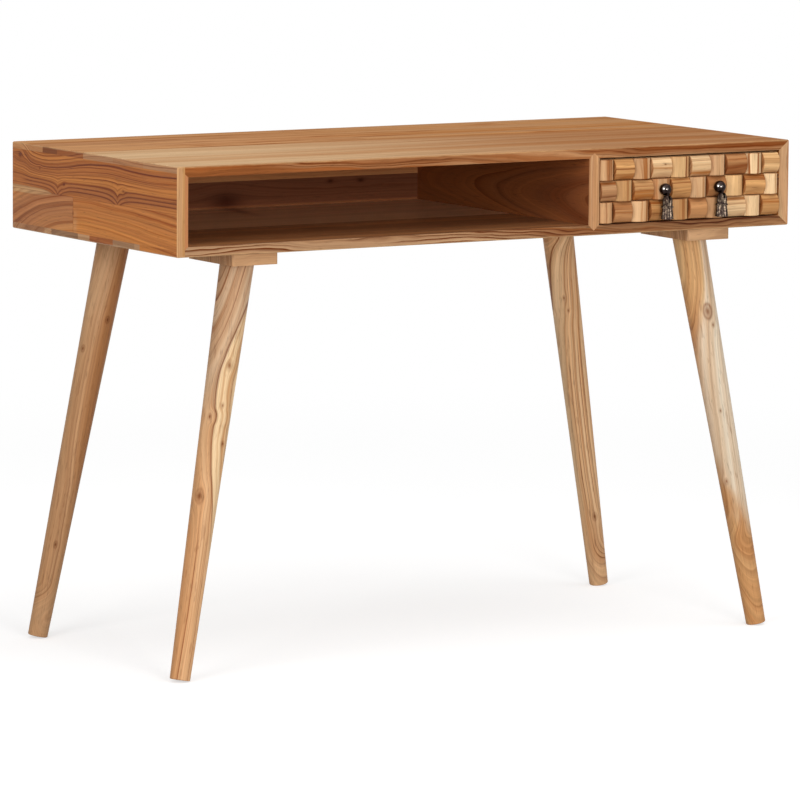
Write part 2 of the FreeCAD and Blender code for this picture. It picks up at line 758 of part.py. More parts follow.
def make_drop(name):
    """A tassel: rounded head with a slot for the lug, band, and a flaring skirt of strands."""
    body = new_body(f"{name}_drop")
    top = "(dim.drop_length + dim.drop_head_rise)"
    shoulder = "(dim.drop_length - dim.drop_shoulder)"
    band_top = "(dim.drop_skirt_length + dim.drop_band_height)"
    head = "(dim.drop_head_diameter / 2)"
    crown = "(dim.drop_crown_diameter / 2)"
    inset = f"({head} - {crown})"
    dome = "(dim.drop_head_rise + dim.drop_shoulder)"
    turn(body, [
        ("0", "0"),
        ("dim.drop_flare_diameter / 2", "0"),
        ("dim.drop_waist_diameter / 2", "dim.drop_skirt_length"),
        ("dim.drop_band_diameter / 2", "dim.drop_skirt_length"),
        ("dim.drop_band_diameter / 2", band_top),
        ("dim.drop_waist_diameter / 2", band_top),
        (head, shoulder),
        (crown, top),
        ("0", top),
    ], {6: f"(({inset} ^ 2 + {dome} ^ 2) / (2 * {inset}))"})

    slot = new_sketch(body, "XZ_Plane", "dim.drop_flare_diameter")
    draw_outline(slot, rectangle(
        "-dim.drop_slot_width / 2", "dim.drop_length - dim.drop_slot_depth", "dim.drop_slot_width / 2",
        f"{top} + dim.drop_head_rise"))
    pocket(body, slot)
    bore = new_sketch(body, "YZ_Plane", "-dim.drop_flare_diameter")
    draw_circle(bore, "0", "dim.drop_length", "dim.pin_diameter + 2 * dim.pin_clearance")
    pocket(body, bore, reverse=True)

    path = new_sketch(body, "XZ_Plane")
    foot = FreeCAD.Vector(number(body, "dim.drop_flare_diameter / 2"), 0, 0)
    neck = FreeCAD.Vector(number(body, "dim.drop_waist_diameter / 2"), number(body, "dim.drop_skirt_length"), 0)
    line = path.addGeometry(Part.LineSegment(foot, neck))
    pin(path, (line, 1), ("dim.drop_flare_diameter / 2", "0"), foot)
    pin(path, (line, 2), ("dim.drop_waist_diameter / 2", "dim.drop_skirt_length"), neck)
    cutter = new_sketch(body, "XY_Plane")
    draw_circle(cutter, "dim.drop_flare_diameter / 2", "0", "dim.strand_groove_diameter")
    flute = body.newObject("PartDesign::SubtractivePipe", f"{body.Name}_flute")
    flute.Profile = cutter
    flute.Spine = (path, ["Edge1"])
    strands = body.newObject("PartDesign::PolarPattern", f"{body.Name}_strands")
    strands.Originals = [flute]
    strands.Axis = (origin_feature(body, "Z_Axis"), [""])
    strands.Angle = 360.0
    strands.setExpression("Occurrences", "dim.strand_count")
    body.Tip = strands
    place(body, knob_middle(name), f"{FRONT} - dim.drop_reach", f"{PIVOT_HEIGHT} - dim.drop_length")
    return body


make_legs(make_case())
knob_fixings = make_knob_screws()
make_drawer_box(knob_fixings)
make_weave(knob_fixings)
make_pulls(knob_fixings)
document.recompute()

for item in document.Objects:
    if "Invalid" in item.State or "Error" in item.State:
        raise RuntimeError(f"{item.Label} could not be made: {item.State}")
os.makedirs("parts", exist_ok=True)
for item in nodes:
    if item.Shape.isNull() or not item.Shape.isValid():
        raise RuntimeError(f"{item.Label} has no valid shape")
    item.Shape.exportStep(f"parts/{item.Label}.step")
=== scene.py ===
import math
import random
from typing import NamedTuple

import bmesh
import bpy
from bpy.props import FloatProperty, FloatVectorProperty, IntProperty, PointerProperty
from mathutils import Matrix, Vector


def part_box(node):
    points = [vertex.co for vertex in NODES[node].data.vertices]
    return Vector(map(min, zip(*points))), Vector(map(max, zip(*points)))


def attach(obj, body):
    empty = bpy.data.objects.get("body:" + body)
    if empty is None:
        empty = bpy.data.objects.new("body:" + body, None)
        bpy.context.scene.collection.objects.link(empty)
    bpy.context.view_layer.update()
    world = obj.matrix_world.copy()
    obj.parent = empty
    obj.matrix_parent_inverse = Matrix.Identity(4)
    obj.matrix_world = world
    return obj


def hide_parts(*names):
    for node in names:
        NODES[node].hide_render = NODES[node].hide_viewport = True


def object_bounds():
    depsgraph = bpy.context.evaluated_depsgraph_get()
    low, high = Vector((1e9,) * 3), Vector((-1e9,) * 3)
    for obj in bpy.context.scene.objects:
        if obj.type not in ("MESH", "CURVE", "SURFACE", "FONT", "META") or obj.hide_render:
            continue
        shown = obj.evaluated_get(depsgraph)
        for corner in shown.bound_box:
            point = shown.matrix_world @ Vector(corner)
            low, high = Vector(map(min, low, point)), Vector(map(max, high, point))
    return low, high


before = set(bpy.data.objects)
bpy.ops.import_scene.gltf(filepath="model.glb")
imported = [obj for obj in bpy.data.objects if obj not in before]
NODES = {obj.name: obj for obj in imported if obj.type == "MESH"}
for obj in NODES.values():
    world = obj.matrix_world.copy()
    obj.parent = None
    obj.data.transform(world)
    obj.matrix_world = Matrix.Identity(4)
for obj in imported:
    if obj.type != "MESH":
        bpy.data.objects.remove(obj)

bl_info = {
    "name": "Writing Desk Looks",
    "version": (1, 0, 0),
    "blender": (4, 5, 0),
    "location": "3D View > Sidebar > Desk",
    "description": "Finishes a writing desk with a basket-weave drawer and tassel pulls",
    "category": "Object",
}

# Metres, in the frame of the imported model: +Z up, +X toward the drawer, the open front faces -Y.
CAD_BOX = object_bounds()
CASE_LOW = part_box("left_side")[0]
CASE_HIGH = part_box("right_side")[1]
SHELF_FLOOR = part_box("back_panel")[0].z
SHELF_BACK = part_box("back_panel")[0].y

# Stand and turn of the camera, fitted to the photograph, and the level direction to its right
VIEW_SPOT = (-4.50957, -7.23466, 1.45551)
VIEW_YAW = math.radians(31.8719)
VIEW_PITCH = math.radians(7.3472)
VIEW_ROLL = math.radians(0.4413)
VIEW_RIGHT = Vector((math.cos(VIEW_YAW), -math.sin(VIEW_YAW), 0.0))

# Stage: radius of its floor, and the radii between which that turns into the white backdrop
STAGE_RADIUS = 6.0
STAGE_FADE = (1.0, 3.0)

# Glue lines: between the two planks of the top, of the shelf's floor and of an end, and across the end's
# lower plank
TOP_SEAM = 0.0426
FLOOR_SEAM = -0.022
END_SEAM = CASE_HIGH.z - 0.0676
END_BUTT = 0.0726

# Width of a glue line, how far the planks beside it blend, and how dark it is
GLUE_WIDTH = 0.0005
GLUE_BLUR = 0.0003
GLUE_SHADE = 0.55

# Outer edges of the case: the distances from one within which the wood is paler, partly rubbed and partly a
# painted highlight along the arris
WORN_AND_HIGHLIT_EDGE = (0.0010, 0.0030)

# Front edges of the case: the depth in which they fade out, how far the edge of the left end goes over the
# top and the bottom, where the reddish strip at the inner side of the left end's edge starts and where it is
# full, and where the painted shade on the outer arris of the right end starts and where it is full
EDGE_FADE = (CASE_LOW.y + 0.0008, CASE_LOW.y + 0.0016)
EDGE_CORNER = CASE_LOW.x + 0.0128
LEFT_ARRIS = (CASE_LOW.x + 0.0120, CASE_LOW.x + 0.0134)
RIGHT_ARRIS_SHADE = (CASE_HIGH.x - 0.0030, CASE_HIGH.x - 0.0020)

# Along the top: from where to where it darkens, where its front edge turns plain and dark, the middle and the
# width of a swirl in that edge, and where the edge over the drawer turns dark
TOP_DARKENS = (-0.50, 0.35)
TOP_EDGE_PLAIN = (-0.30, -0.42)
TOP_EDGE_SWIRL = (-0.18, 0.16)
TOP_EDGE_DARK = (0.18, 0.26)

# Along the bottom: where its front edge turns brown; a dark streak in the shelf's floor and its size; a
# leaning painted shadow of the left end on the floor: its back end, its width and where it fades in; where
# the floor takes on its gloss, and how deep its finish goes
BOTTOM_EDGE_BROWN = (0.05, 0.25)
FLOOR_STREAK = (-0.213, -0.080)
FLOOR_STREAK_SIZE = (0.030, 0.010)
FLOOR_SHADOW = -0.172
FLOOR_SHADOW_WIDTH = 0.012
FLOOR_SHADOW_FADE = (SHELF_BACK - 0.16, SHELF_BACK - 0.05)
FLOOR_GLOSS = (FLOOR_SEAM - 0.10, FLOOR_SEAM + 0.04)
FLOOR_SKIN = 0.0004

# Ends: height of the staves along their rims; on the upper plank, how a growth line rises and falls from the
# back to the front (as shares) and the heights over the glue line between which that fades in, the points
# where lines run down to the glue line (a place and a depth) and how far they reach, knots (a place, a height
# and a size) and dark lines (a height, a width and a strength)
END_STAVE = 0.0088
END_WAVE = (
    (0.0, 0.18), (0.05, 0.22), (0.085, 0.33), (0.137, 0.55), (0.20, 0.61), (0.233, 0.60), (0.352, 0.486),
    (0.427, 0.376), (0.516, 0.292), (0.62, 0.248), (0.73, 0.308), (0.88, 0.336), (1.0, 0.306),
)
END_WAVE_FADE = (0.008, 0.045)
END_POINTS = ((0.120, 0.014), (-0.062, 0.013))
END_POINT_WIDTH = 0.018
END_POINT_HEIGHT = 0.022
END_KNOTS = (
    (0.2376, 0.7318, 0.0075), (0.1756, 0.7162, 0.0032), (0.100, 0.698, 0.0035), (-0.079, 0.7025, 0.0035),
)
END_LINES = (
    (0.734, 0.0011, 0.9), (0.7025, 0.0010, 0.6), (0.6965, 0.0012, 0.8), (0.6905, 0.0010, 0.7),
    (0.7195, 0.0009, 0.4),
)

# Lower planks of an end: middle of the arches, height and size of the knot at the butt, and the width of the
# pale strip beside it; the pale lens over the glue line: its edge in height, and its tip as a share of the
# way to the front
END_ARCH = (0.06, 0.60)
END_BUTT_KNOT = (0.658, 0.0035)
END_STRIP = 0.006
END_LENS = (0.0045, 0.0062)
END_LENS_TIP = (0.31, 0.27)

# Divider: height of the middle of its arches, and where its front half turns darker with painted shade
DIVIDER_MIDDLE = 0.672
DIVIDER_FRONT_SHADE = (0.12, -0.16)

# Back of the shelf: knots (a place, a height and a size), the last of which, large and low at the left, is a
# painted shadow of the left end; heights of its paler upper and lower strips, and the depth at which its
# outer face starts
BACK_KNOTS = ((0.011, 0.6698, 0.0055), (0.066, 0.6687, 0.0055), (-0.175, 0.6450, 0.024))
BACK_UPPER_STRIP = (0.6755, 0.6765)
BACK_LOWER_STRIP = (0.6395, 0.6365)
BACK_OUTSIDE = (SHELF_BACK + 0.004, SHELF_BACK + 0.006)

# Legs: radius at the foot and how much it grows up to the top, slices at both ends whose middles lie on the
# axis, the depth over which the marks of the seen side fade out, and how far to either side a border may go,
# in radii
LEG_FOOT = 0.015
LEG_TAPER = 0.010
LEG_TOP_SLICE = 0.0002
LEG_FOOT_SLICE = 0.012
LEG_FACE = (0.004, -0.004)
BORDER_REACH = 2.0

# Tiles of the weave: their crown, the faces along it and the angle, in radians, from which an edge is eased;
# width of the painted shade along a joint; place, height and size of a knot; how far the grain may be shifted
TILE_CROWN = 0.008
TILE_STEPS = 16
TILE_SHARP = 0.5
TILE_JOINT_FADE = (0.0014, 0.0002)
TILE_KNOT = (0.3045, 0.7215, 0.0022)
TILE_SHIFT = ((0.0, 40.0), (-0.03, 0.03), (-0.02, 0.02))

# Stock of each tile in a row of the weave, from left to right
TILE_STOCK = {
    "lower": "rose chestnut rose golden straw chestnut rose cream cream golden",
    "middle": "tan straw straw rose golden rose chestnut straw golden cream",
    "upper": "rose golden rose cream straw cream rose chestnut cream straw",
}
GRAINS = ("upright", "level")

# Painted highlights on a ball: bright spots where the lamps' highlights fall, each a direction from its
# middle, a width and a strength
PAINTED_HIGHLIGHTS = (((-0.78, -0.60, 0.28), 0.20, 0.75), ((-0.25, -0.94, 0.18), 0.16, 0.40))

# Tassels, with heights from the foot of the drop: the twisted band, the head that draws in above its
# shoulder, the loops on it (half a width as an angle, and a rise), and the skirt of strands
BAND_HEIGHT = 0.0182
BAND_RADIUS = 0.0079
BAND_TURNS = 24
HEAD_RADIUS = 0.0070
HEAD_SHOULDER = 0.0298
HEAD_TAPER = 0.4
LOOPS = ((0.42, 0.0142), (0.20, 0.0090))
LOOP_FOOT = 0.0008
LOOP_STEPS = 20
STRAND_STEPS = 8
STRAND_SWAY = 0.05
STRAND_ENDS = (0.0001, 0.0012)
SKIRT_FOOT = 0.0089
SKIRT_TOP = 0.0067

# Tints that multiply a tone
PALE_STREAK = (1.16, 1.20, 1.24)
DARK_STREAK = (0.60, 0.37, 0.20)
GROWTH_LINE = (0.34, 0.15, 0.06)
DARK_MARK = (0.32, 0.15, 0.07)
TOP_FLECK = (0.56, 0.30, 0.18)
SWIRL_SHADE = (0.62, 0.52, 0.46)
STAVE_SHADE = (0.72, 0.62, 0.55)
LEG_SHADE = (0.86, 0.74, 0.64)
TILE_LIGHT = (1.02, 0.96, 0.88)
TILE_SHADE = (0.72, 0.57, 0.45)
# Painted shade that darkens the tiles along their joints
TILE_JOINT_SHADE = (0.45, 0.27, 0.16)
WHITE = (1.0, 1.0, 1.0)
BLACK = (0.0, 0.0, 0.0)

# How far a seed shifts a noise along its three coordinates
SEED_STEP = (3.7, 1.3, 2.1)

# Height of the relief of the wood and of the bronze
WOOD_RELIEF = 0.0003
BRONZE_RELIEF = 0.00003


def colour_setting(name, description, default):
    """A colour that a user would change."""
    return FloatVectorProperty(
        name=name, description=description, subtype="COLOR", size=3, min=0.0, max=1.0, default=default)


def amount_setting(name, description, default, **kind):
    """A strength, a power or a length that a user would change."""
    return FloatProperty(name=name, description=description, default=default, min=0.0, **kind)


def length_setting(name, description, default):
    """A small length that a user would change."""
    return amount_setting(name, description, default, unit="LENGTH", precision=5)


class DeskSizeSettings(bpy.types.PropertyGroup):
    """Sizes of what is made anew: the tiles of the weave and the cords of the tassels."""

    easing: length_setting("Easing", "Width of the eased edges of a tile", 0.0008)
    band: length_setting("Band", "Thickness of the twisted band of a tassel", 0.0016)
    loop: length_setting("Loop", "Radius of the cord of a loop on a tassel", 0.0008)
    strand: length_setting("Strand", "Radius of a strand in the skirt of a tassel", 0.00082)
    strands: IntProperty(name="Strands", description="Strands in the skirt of a tassel", default=32, min=3)


class DeskWoodSettings(bpy.types.PropertyGroup):
    """Tones of the wood."""

    bone: colour_setting("Bone", "Greyish white sapwood of a leg", (0.71, 0.60, 0.455))
    # Sand: painted light that brightens the back of the shelf's floor
    painted_light_sand: colour_setting("Sand", "Palest plank, at the back of the shelf's floor", (0.88, 0.55, 0.35))
    cream: colour_setting("Cream", "Palest sapwood of the tiles", (0.72, 0.52, 0.31))
    straw: colour_setting("Straw", "Pale sapwood with a yellow cast", (0.65, 0.42, 0.21))
    honey: colour_setting("Honey", "Pale heartwood of the top", (0.64, 0.37, 0.185))
    rose: colour_setting("Rose", "Pinkish sapwood", (0.62, 0.40, 0.225))
    golden: colour_setting("Golden", "Golden heartwood of some tiles", (0.54, 0.295, 0.120))
    amber: colour_setting("Amber", "Deep golden heartwood", (0.50, 0.225, 0.068))
    copper: colour_setting("Copper", "Orange heartwood of the ends", (0.60, 0.225, 0.050))
    tan: colour_setting("Tan", "Middle tone of the legs", (0.50, 0.295, 0.155))
    chestnut: colour_setting("Chestnut", "Brown heartwood of some tiles", (0.43, 0.215, 0.092))
    # Cocoa: painted shade on the wood inside the shelf
    shelf_shade_cocoa: colour_setting("Cocoa", "Dark heartwood inside the shelf", (0.155, 0.050, 0.022))
    russet: colour_setting("Russet", "Reddish heartwood", (0.40, 0.128, 0.034))
    umber: colour_setting("Umber", "Dark lines and knots", (0.10, 0.030, 0.010))
    left_edge: colour_setting("Left edge", "Front edge of the left end and the divider", (0.50, 0.25, 0.092))
    right_edge: colour_setting("Right edge", "Front edge of the right end", (0.54, 0.300, 0.130))
    # Worn: the paler tone along the case's edges, partly wear and partly painted highlight
    worn: colour_setting("Worn", "Wood along the rubbed edges of the case", (0.62, 0.38, 0.18))
    drawer: colour_setting("Drawer", "Plain wood of the drawer box", (0.52, 0.34, 0.18))


class DeskMetalSettings(bpy.types.PropertyGroup):
    """Tones of the metal pieces."""

    bronze: colour_setting("Bronze", "Dark antique bronze of the pulls", (0.030, 0.019, 0.017))
    rubbed: colour_setting("Rubbed bronze", "Bronze where hands have polished it", (0.20, 0.150, 0.105))
    # Bright: the colour of the painted highlights on the balls
    bright: colour_setting("Bright bronze", "Brightest spots of the balls", (0.80, 0.74, 0.68))
    zinc: colour_setting("Zinc", "Plating of the screws and bolts", (0.52, 0.53, 0.54))
    spangle: colour_setting("Spangle", "Duller patches of the plating", (0.424, 0.431, 0.438))


class DeskStageSettings(bpy.types.PropertyGroup):
    """Floor, light and camera."""

    floor: colour_setting("Floor", "Pale floor", (0.62, 0.62, 0.62))
    lift: amount_setting("Lift", "White that is added to the floor where it is seen", 0.58)
    sky: amount_setting("Sky", "Strength of the even light from all round", 0.40)
    front: amount_setting("Front", "Power of the low lamp in front of the shelf", 150.0, unit="POWER")
    side: amount_setting("Side", "Power of the lamp at the left", 96.0, unit="POWER")
    overhead: amount_setting("Overhead", "Power of the lamp above the desk", 45.0, unit="POWER")
    lens: amount_setting("Lens", "Focal length of the camera", 255.08, subtype="DISTANCE_CAMERA")


class Wire:
    """An output socket in an expression; each operation adds a Math node."""

    def __init__(self, finish, socket):
        self.finish = finish
        self.socket = socket

    def other(self, output):
        """Another output of the same node."""
        return Wire(self.finish, self.socket.node.outputs[output])

    def __add__(self, term):
        return self.finish.math("ADD", self, term)

    def __sub__(self, term):
        return self.finish.math("SUBTRACT", self, term)

    def __rsub__(self, term):
        return self.finish.math("SUBTRACT", term, self)

    def __mul__(self, term):
        return self.finish.math("MULTIPLY", self, term)

    def __truediv__(self, term):
        return self.finish.math("DIVIDE", self, term)

    def __rtruediv__(self, term):
        return self.finish.math("DIVIDE", term, self)

    def __abs__(self):
        return self.finish.math("ABSOLUTE", self)

    def __lt__(self, term):
        return self.finish.math("LESS_THAN", self, term)

    def __gt__(self, term):
        return self.finish.math("GREATER_THAN", self, term)

    __radd__ = __add__
    __rmul__ = __mul__


class Finish:
    """A material, or the world, in the making."""

    def __init__(self, owner):
        self.owner = owner
        owner.use_nodes = True
        self.tree = owner.node_tree
        self.tree.nodes.clear()

    def node(self, kind, settings=None, sockets=None, output=0):
        """Adds a node: its settings, a ramp's stops or a curve's points come first, then its sockets."""
        node = self.tree.nodes.new(kind)
        for name, value in (settings or {}).items():
            if name == "stops":
                set_stops(node.color_ramp, value)
            elif name == "points":
                set_points(node.mapping, value)
            else:
                setattr(node, name, value)
        for name, value in (sockets or {}).items():
            if isinstance(value, Wire):
                self.tree.links.new(value.socket, node.inputs[name])
            else:
                node.inputs[name].default_value = value
        return Wire(self, node.outputs[output]) if len(node.outputs) else None

    def math(self, operation, *terms):
        """One operation on values."""
        return self.node("ShaderNodeMath", {"operation": operation}, dict(enumerate(terms)))

    def parts(self, vector):
        """The three coordinates of a vector."""
        x = self.node("ShaderNodeSeparateXYZ", sockets={"Vector": vector})
        return x, x.other("Y"), x.other("Z")

    def place(self):
        """The three coordinates of a point on the piece, in metres."""
        return self.parts(self.node("ShaderNodeTexCoord", output="Object"))

    def attribute(self, name, output):
        """A value that was stored on the mesh."""
        return self.node("ShaderNodeAttribute", {"attribute_name": name}, output=output)

    def noise(self, a, b, c, seed, detail=2.0, roughness=0.5):
        """Noise between 0 and 1 at three coordinates."""
        spot = self.node("ShaderNodeCombineXYZ", sockets={
            number: value + seed * step for number, (value, step) in enumerate(zip((a, b, c), SEED_STEP))})
        return self.node("ShaderNodeTexNoise", sockets={
            "Vector": spot, "Scale": 1.0, "Detail": detail, "Roughness": roughness})

    def cells(self, value, seed):
        """A random number for each whole number that a value passes."""
        cell = self.math("FLOOR", value)
        return self.node("ShaderNodeTexWhiteNoise", {"noise_dimensions": "1D"}, {"W": cell + seed})

    def guide(self, value, points):
        """Height of a smooth line through points, at a value between 0 and 1."""
        return self.node("ShaderNodeFloatCurve", {"points": points}, {"Value": value})

    def pieces(self, value, stops):
        """Colours of pieces laid end to end, each from the value where it starts."""
        return self.node("ShaderNodeValToRGB", {"stops": stops}, {"Fac": value}, output="Color")

    def length(self, a, b):
        """Length of the hypotenuse over two sides."""
        return self.math("SQRT", a * a + b * b)

    def least(self, first, *others):
        """The smallest of several values."""
        for value in others:
            first = self.math("MINIMUM", first, value)
        return first

    def smooth(self, value, low, high):
        """Rises softly from 0 at low to 1 at high."""
        return self.node("ShaderNodeMapRange", {"interpolation_type": "SMOOTHSTEP"}, {
            "Value": value, "From Min": low, "From Max": high, "To Min": 0.0, "To Max": 1.0})

    def bell(self, value, width):
        """1 where the value is nought, falling away on both sides."""
        ratio = value / width
        return self.math("EXPONENT", ratio * ratio * -1.0)

    def mix(self, factor, first, second, blend_type="MIX"):
        """Mixes two colours."""
        settings = {"data_type": "RGBA", "blend_type": blend_type}
        sockets = {0: factor, 6: colour(first), 7: colour(second)}
        return self.node("ShaderNodeMix", settings, sockets, output=2)

    def tint(self, factor, tone, tint):
        """A tone multiplied by a tint, as far as the factor says."""
        return self.mix(factor, tone, tint, "MULTIPLY")

    def surface(self, sockets, relief=None, depth=0.0):
        """The surface of the material, with its relief as a bump."""
        if relief is not None:
            sockets = {**sockets, "Normal": self.node("ShaderNodeBump", sockets={
                "Strength": 1.0, "Distance": depth, "Height": relief})}
        self.finish_with(self.node("ShaderNodeBsdfPrincipled", sockets=sockets))

    def finish_with(self, shader):
        """Ends the tree with its output."""
        kind = "World" if isinstance(self.owner, bpy.types.World) else "Material"
        self.node(f"ShaderNodeOutput{kind}", sockets={"Surface": shader})


class Look(NamedTuple):
    """How a board is figured.

    The pith is given across the grain and in depth; it is in metres, as are the wander and the spacing of the
    growth lines. Bands and streaks of colour are counted to the metre; lines and streaks say how strongly
    these show.
    """

    pale: object
    deep: object
    seed: float
    pith: tuple = (0.0, 0.12)
    wander: float = 0.06
    lines: float = 0.5
    spacing: float = 0.007
    bands: float = 24.0
    streaks: float = 0.6
    streak_count: float = 130.0


class Board(NamedTuple):
    """Colour and relief of a piece of wood."""

    colour: Wire
    relief: Wire


def colour(value):
    """A colour setting as a socket value; links pass through."""
    return value if isinstance(value, Wire) else (*value, 1.0)


def set_stops(ramp, stops):
    """Gives a colour ramp its stops, a place and a colour each, with no blend between them."""
    ramp.interpolation = "CONSTANT"
    for number, (start, tone) in enumerate(stops):
        stop = ramp.elements[number] if number < 2 else ramp.elements.new(start)
        stop.position = start
        stop.color = colour(tone)


def set_points(mapping, points):
    """Gives a curve its points."""
    ends = mapping.curves[0].points
    ends[0].location, ends[1].location = points[0], points[-1]
    for along, height in points[1:-1]:
        ends.new(along, height)
    mapping.update()


def blend(first, second, share):
    """A colour between two others."""
    return tuple(a + (b - a) * share for a, b in zip(first, second))


def pick(mask, first, second):
    """The first value, or the second where a mask says so."""
    return first + (second - first) * mask


def figure(finish, spot, look, ring=None):
    """A board cut from a log: growth lines round its pith that wander along the grain, bands and fibres."""
    along, across, depth = spot
    if ring is None:
        ring = finish.length(across - look.pith[0], depth - look.pith[1])
    drift = finish.noise(along * 2.0, across * 6.0, depth * 6.0, look.seed)
    ripple = finish.noise(along * 9.0, across * 24.0, depth * 24.0, look.seed + 1.0)
    ring = ring + (drift - 0.5) * look.wander + (ripple - 0.5) * (look.wander * 0.25)

    # A growth line darkens slowly and ends sharply; each has a strength of its own and fades here and there
    count = ring / look.spacing + finish.noise(along * 0.8, ring * 40.0, 0.0, look.seed + 3.0) * 1.8
    rise = finish.math("FRACT", count)
    fade = finish.noise(along * 4.0, ring * 40.0, 0.0, look.seed + 5.0)
    growth = rise * rise * rise * rise * (1.0 - finish.smooth(rise, 0.92, 1.0))
    growth = growth * finish.cells(count, look.seed) * finish.smooth(fade, 0.30, 0.62) * look.lines

    # Bands, streaks and fibres follow the growth lines, and pores lie along the grain
    tone = finish.noise(along * 0.9, ring * look.bands, 0.0, look.seed + 2.0, detail=1.5)
    streak = finish.noise(
        along * 1.3, ring * look.streak_count, depth * 6.0, look.seed + 7.0, detail=4.0, roughness=0.6)
    fine = finish.noise(along * 2.5, ring * 420.0, 0.0, look.seed + 4.0, detail=3.0, roughness=0.65)
    fibre = finish.noise(along * 14.0, across * 900.0, depth * 900.0, look.seed + 6.0)
    pore = finish.noise(along * 50.0, across * 520.0, depth * 520.0, look.seed + 8.0)
    pore = finish.smooth(pore, 0.60, 0.74)

    ground = finish.mix(finish.smooth(tone, 0.32, 0.68), look.pale, look.deep)
    ground = finish.tint(finish.smooth(streak, 0.50, 0.32) * look.streaks, ground, PALE_STREAK)
    ground = finish.tint(finish.smooth(streak, 0.50, 0.72) * look.streaks, ground, DARK_STREAK)
    ground = finish.tint(growth * 2.0, ground, GROWTH_LINE)
    ground = finish.tint(1.0, ground, 0.42 + fine * 0.82 + fibre * 0.40 - pore * 0.28)
    return Board(ground, fibre * 0.5 + fine * 0.3 - growth * 0.4 - pore * 0.3)


def lay(finish, base, mask, top):
    """One board over another where a mask says so."""
    return Board(finish.mix(mask, base.colour, top.colour), pick(mask, base.relief, top.relief))


def darken(finish, board, mask, tint=DARK_MARK):
    """A board with dark marks."""
    return Board(finish.tint(mask, board.colour, tint), board.relief - mask * 0.3)


def glue_line(finish, offset):
    """How dark a glue line is at an offset from its middle."""
    return finish.bell(offset, GLUE_WIDTH) * GLUE_SHADE


def glue(finish, first, second, offset):
    """Two boards side by side, with a glue line where the offset is nought."""
    board = lay(finish, first, finish.smooth(offset, -GLUE_BLUR, GLUE_BLUR), second)
    return darken(finish, board, glue_line(finish, offset))


def varnish(finish, board, gloss=0.40, sheen=0.08, coat=0.0):
    """Satin lacquer over a board, with a glossier coat where a mask says so."""
    finish.surface({
        "Base Color": board.colour,
        "Roughness": board.relief * 0.16 + (gloss - 0.06),
        "Specular IOR Level": sheen,
        "Coat Weight": coat,
        "Coat Roughness": 0.30,
    }, board.relief, WOOD_RELIEF)


def knot(finish, along, across, size):
    """How far a knot pushes the growth lines aside, and how dark its heart is."""
    reach = (along * along * 0.35 + across * across) / (size * size)
    return across * finish.math("EXPONENT", reach * -0.4) * 0.85, finish.math("EXPONENT", reach * -3.5)


def knots(finish, along, height, spots, squeeze):
    """The same for several knots of a board, each squeezed along the grain."""
    pushes, hearts = [], []
    for spot, level, size in spots:
        push, heart = knot(finish, (along - spot) * squeeze, height - level, size)
        pushes.append(push)
        hearts.append(heart)
    return sum(pushes), sum(hearts)


def new_finish(name):
    """An empty material under a name."""
    return Finish(bpy.data.materials.new(name))


def dress(node, finish):
    """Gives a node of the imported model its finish."""
    mesh = NODES[node].data
    mesh.materials.clear()
    mesh.materials.append(finish.owner)


def arris(finish, place):
    """Distance to the nearest outer edge of the case."""
    gaps = [finish.least(value - low, high - value) for value, low, high in zip(place, CASE_LOW, CASE_HIGH)]
    pairs = [finish.math("MAXIMUM", gaps[a], gaps[b]) for a, b in ((0, 1), (1, 2), (0, 2))]
    return finish.least(*pairs)


def wear_and_edge_highlight(finish, board, place, tone):
    """Paler edges of the case: partly rubbed wear and partly a painted highlight along the arrises."""
    x, y, z = place
    rough = finish.noise(x * 60.0, y * 60.0, z * 60.0, 3.0)
    # Paler along the arrises, partly rubbed wear and partly a painted highlight
    rubbed = 1.0 - finish.smooth(arris(finish, place) + rough * 0.002, *WORN_AND_HIGHLIT_EDGE)
    return Board(finish.mix(rubbed * 0.45, board.colour, tone), board.relief)


def upright_edge(finish, place, seed, tone):
    """Pale front edge of an upright board."""
    x, y, z = place
    return figure(finish, (z, x, y), Look(
        pale=blend(tone, WHITE, 0.06), deep=blend(tone, BLACK, 0.16), seed=seed, pith=(0.6, 0.1), wander=0.02,
        lines=0.5, spacing=0.004, bands=90.0, streaks=0.5, streak_count=220.0))


def level_edge(finish, place, seed, pale, deep, lines=1.2):
    """Front edge of the top or the bottom, with its figure along the edge."""
    x, y, z = place
    swirl = finish.noise(x * 4.0, z * 20.0, 0.0, seed, detail=3.0)
    ring = z * 0.9 + x * 0.03 + (swirl - 0.5) * 0.036
    return figure(finish, (x, z, y), Look(
        pale, deep, seed + 1.0, wander=0.03, lines=lines, spacing=0.0042, bands=75.0, streaks=1.0), ring)


def front_mask(finish, y):
    """The front edges of the case."""
    return 1.0 - finish.smooth(y, *EDGE_FADE)


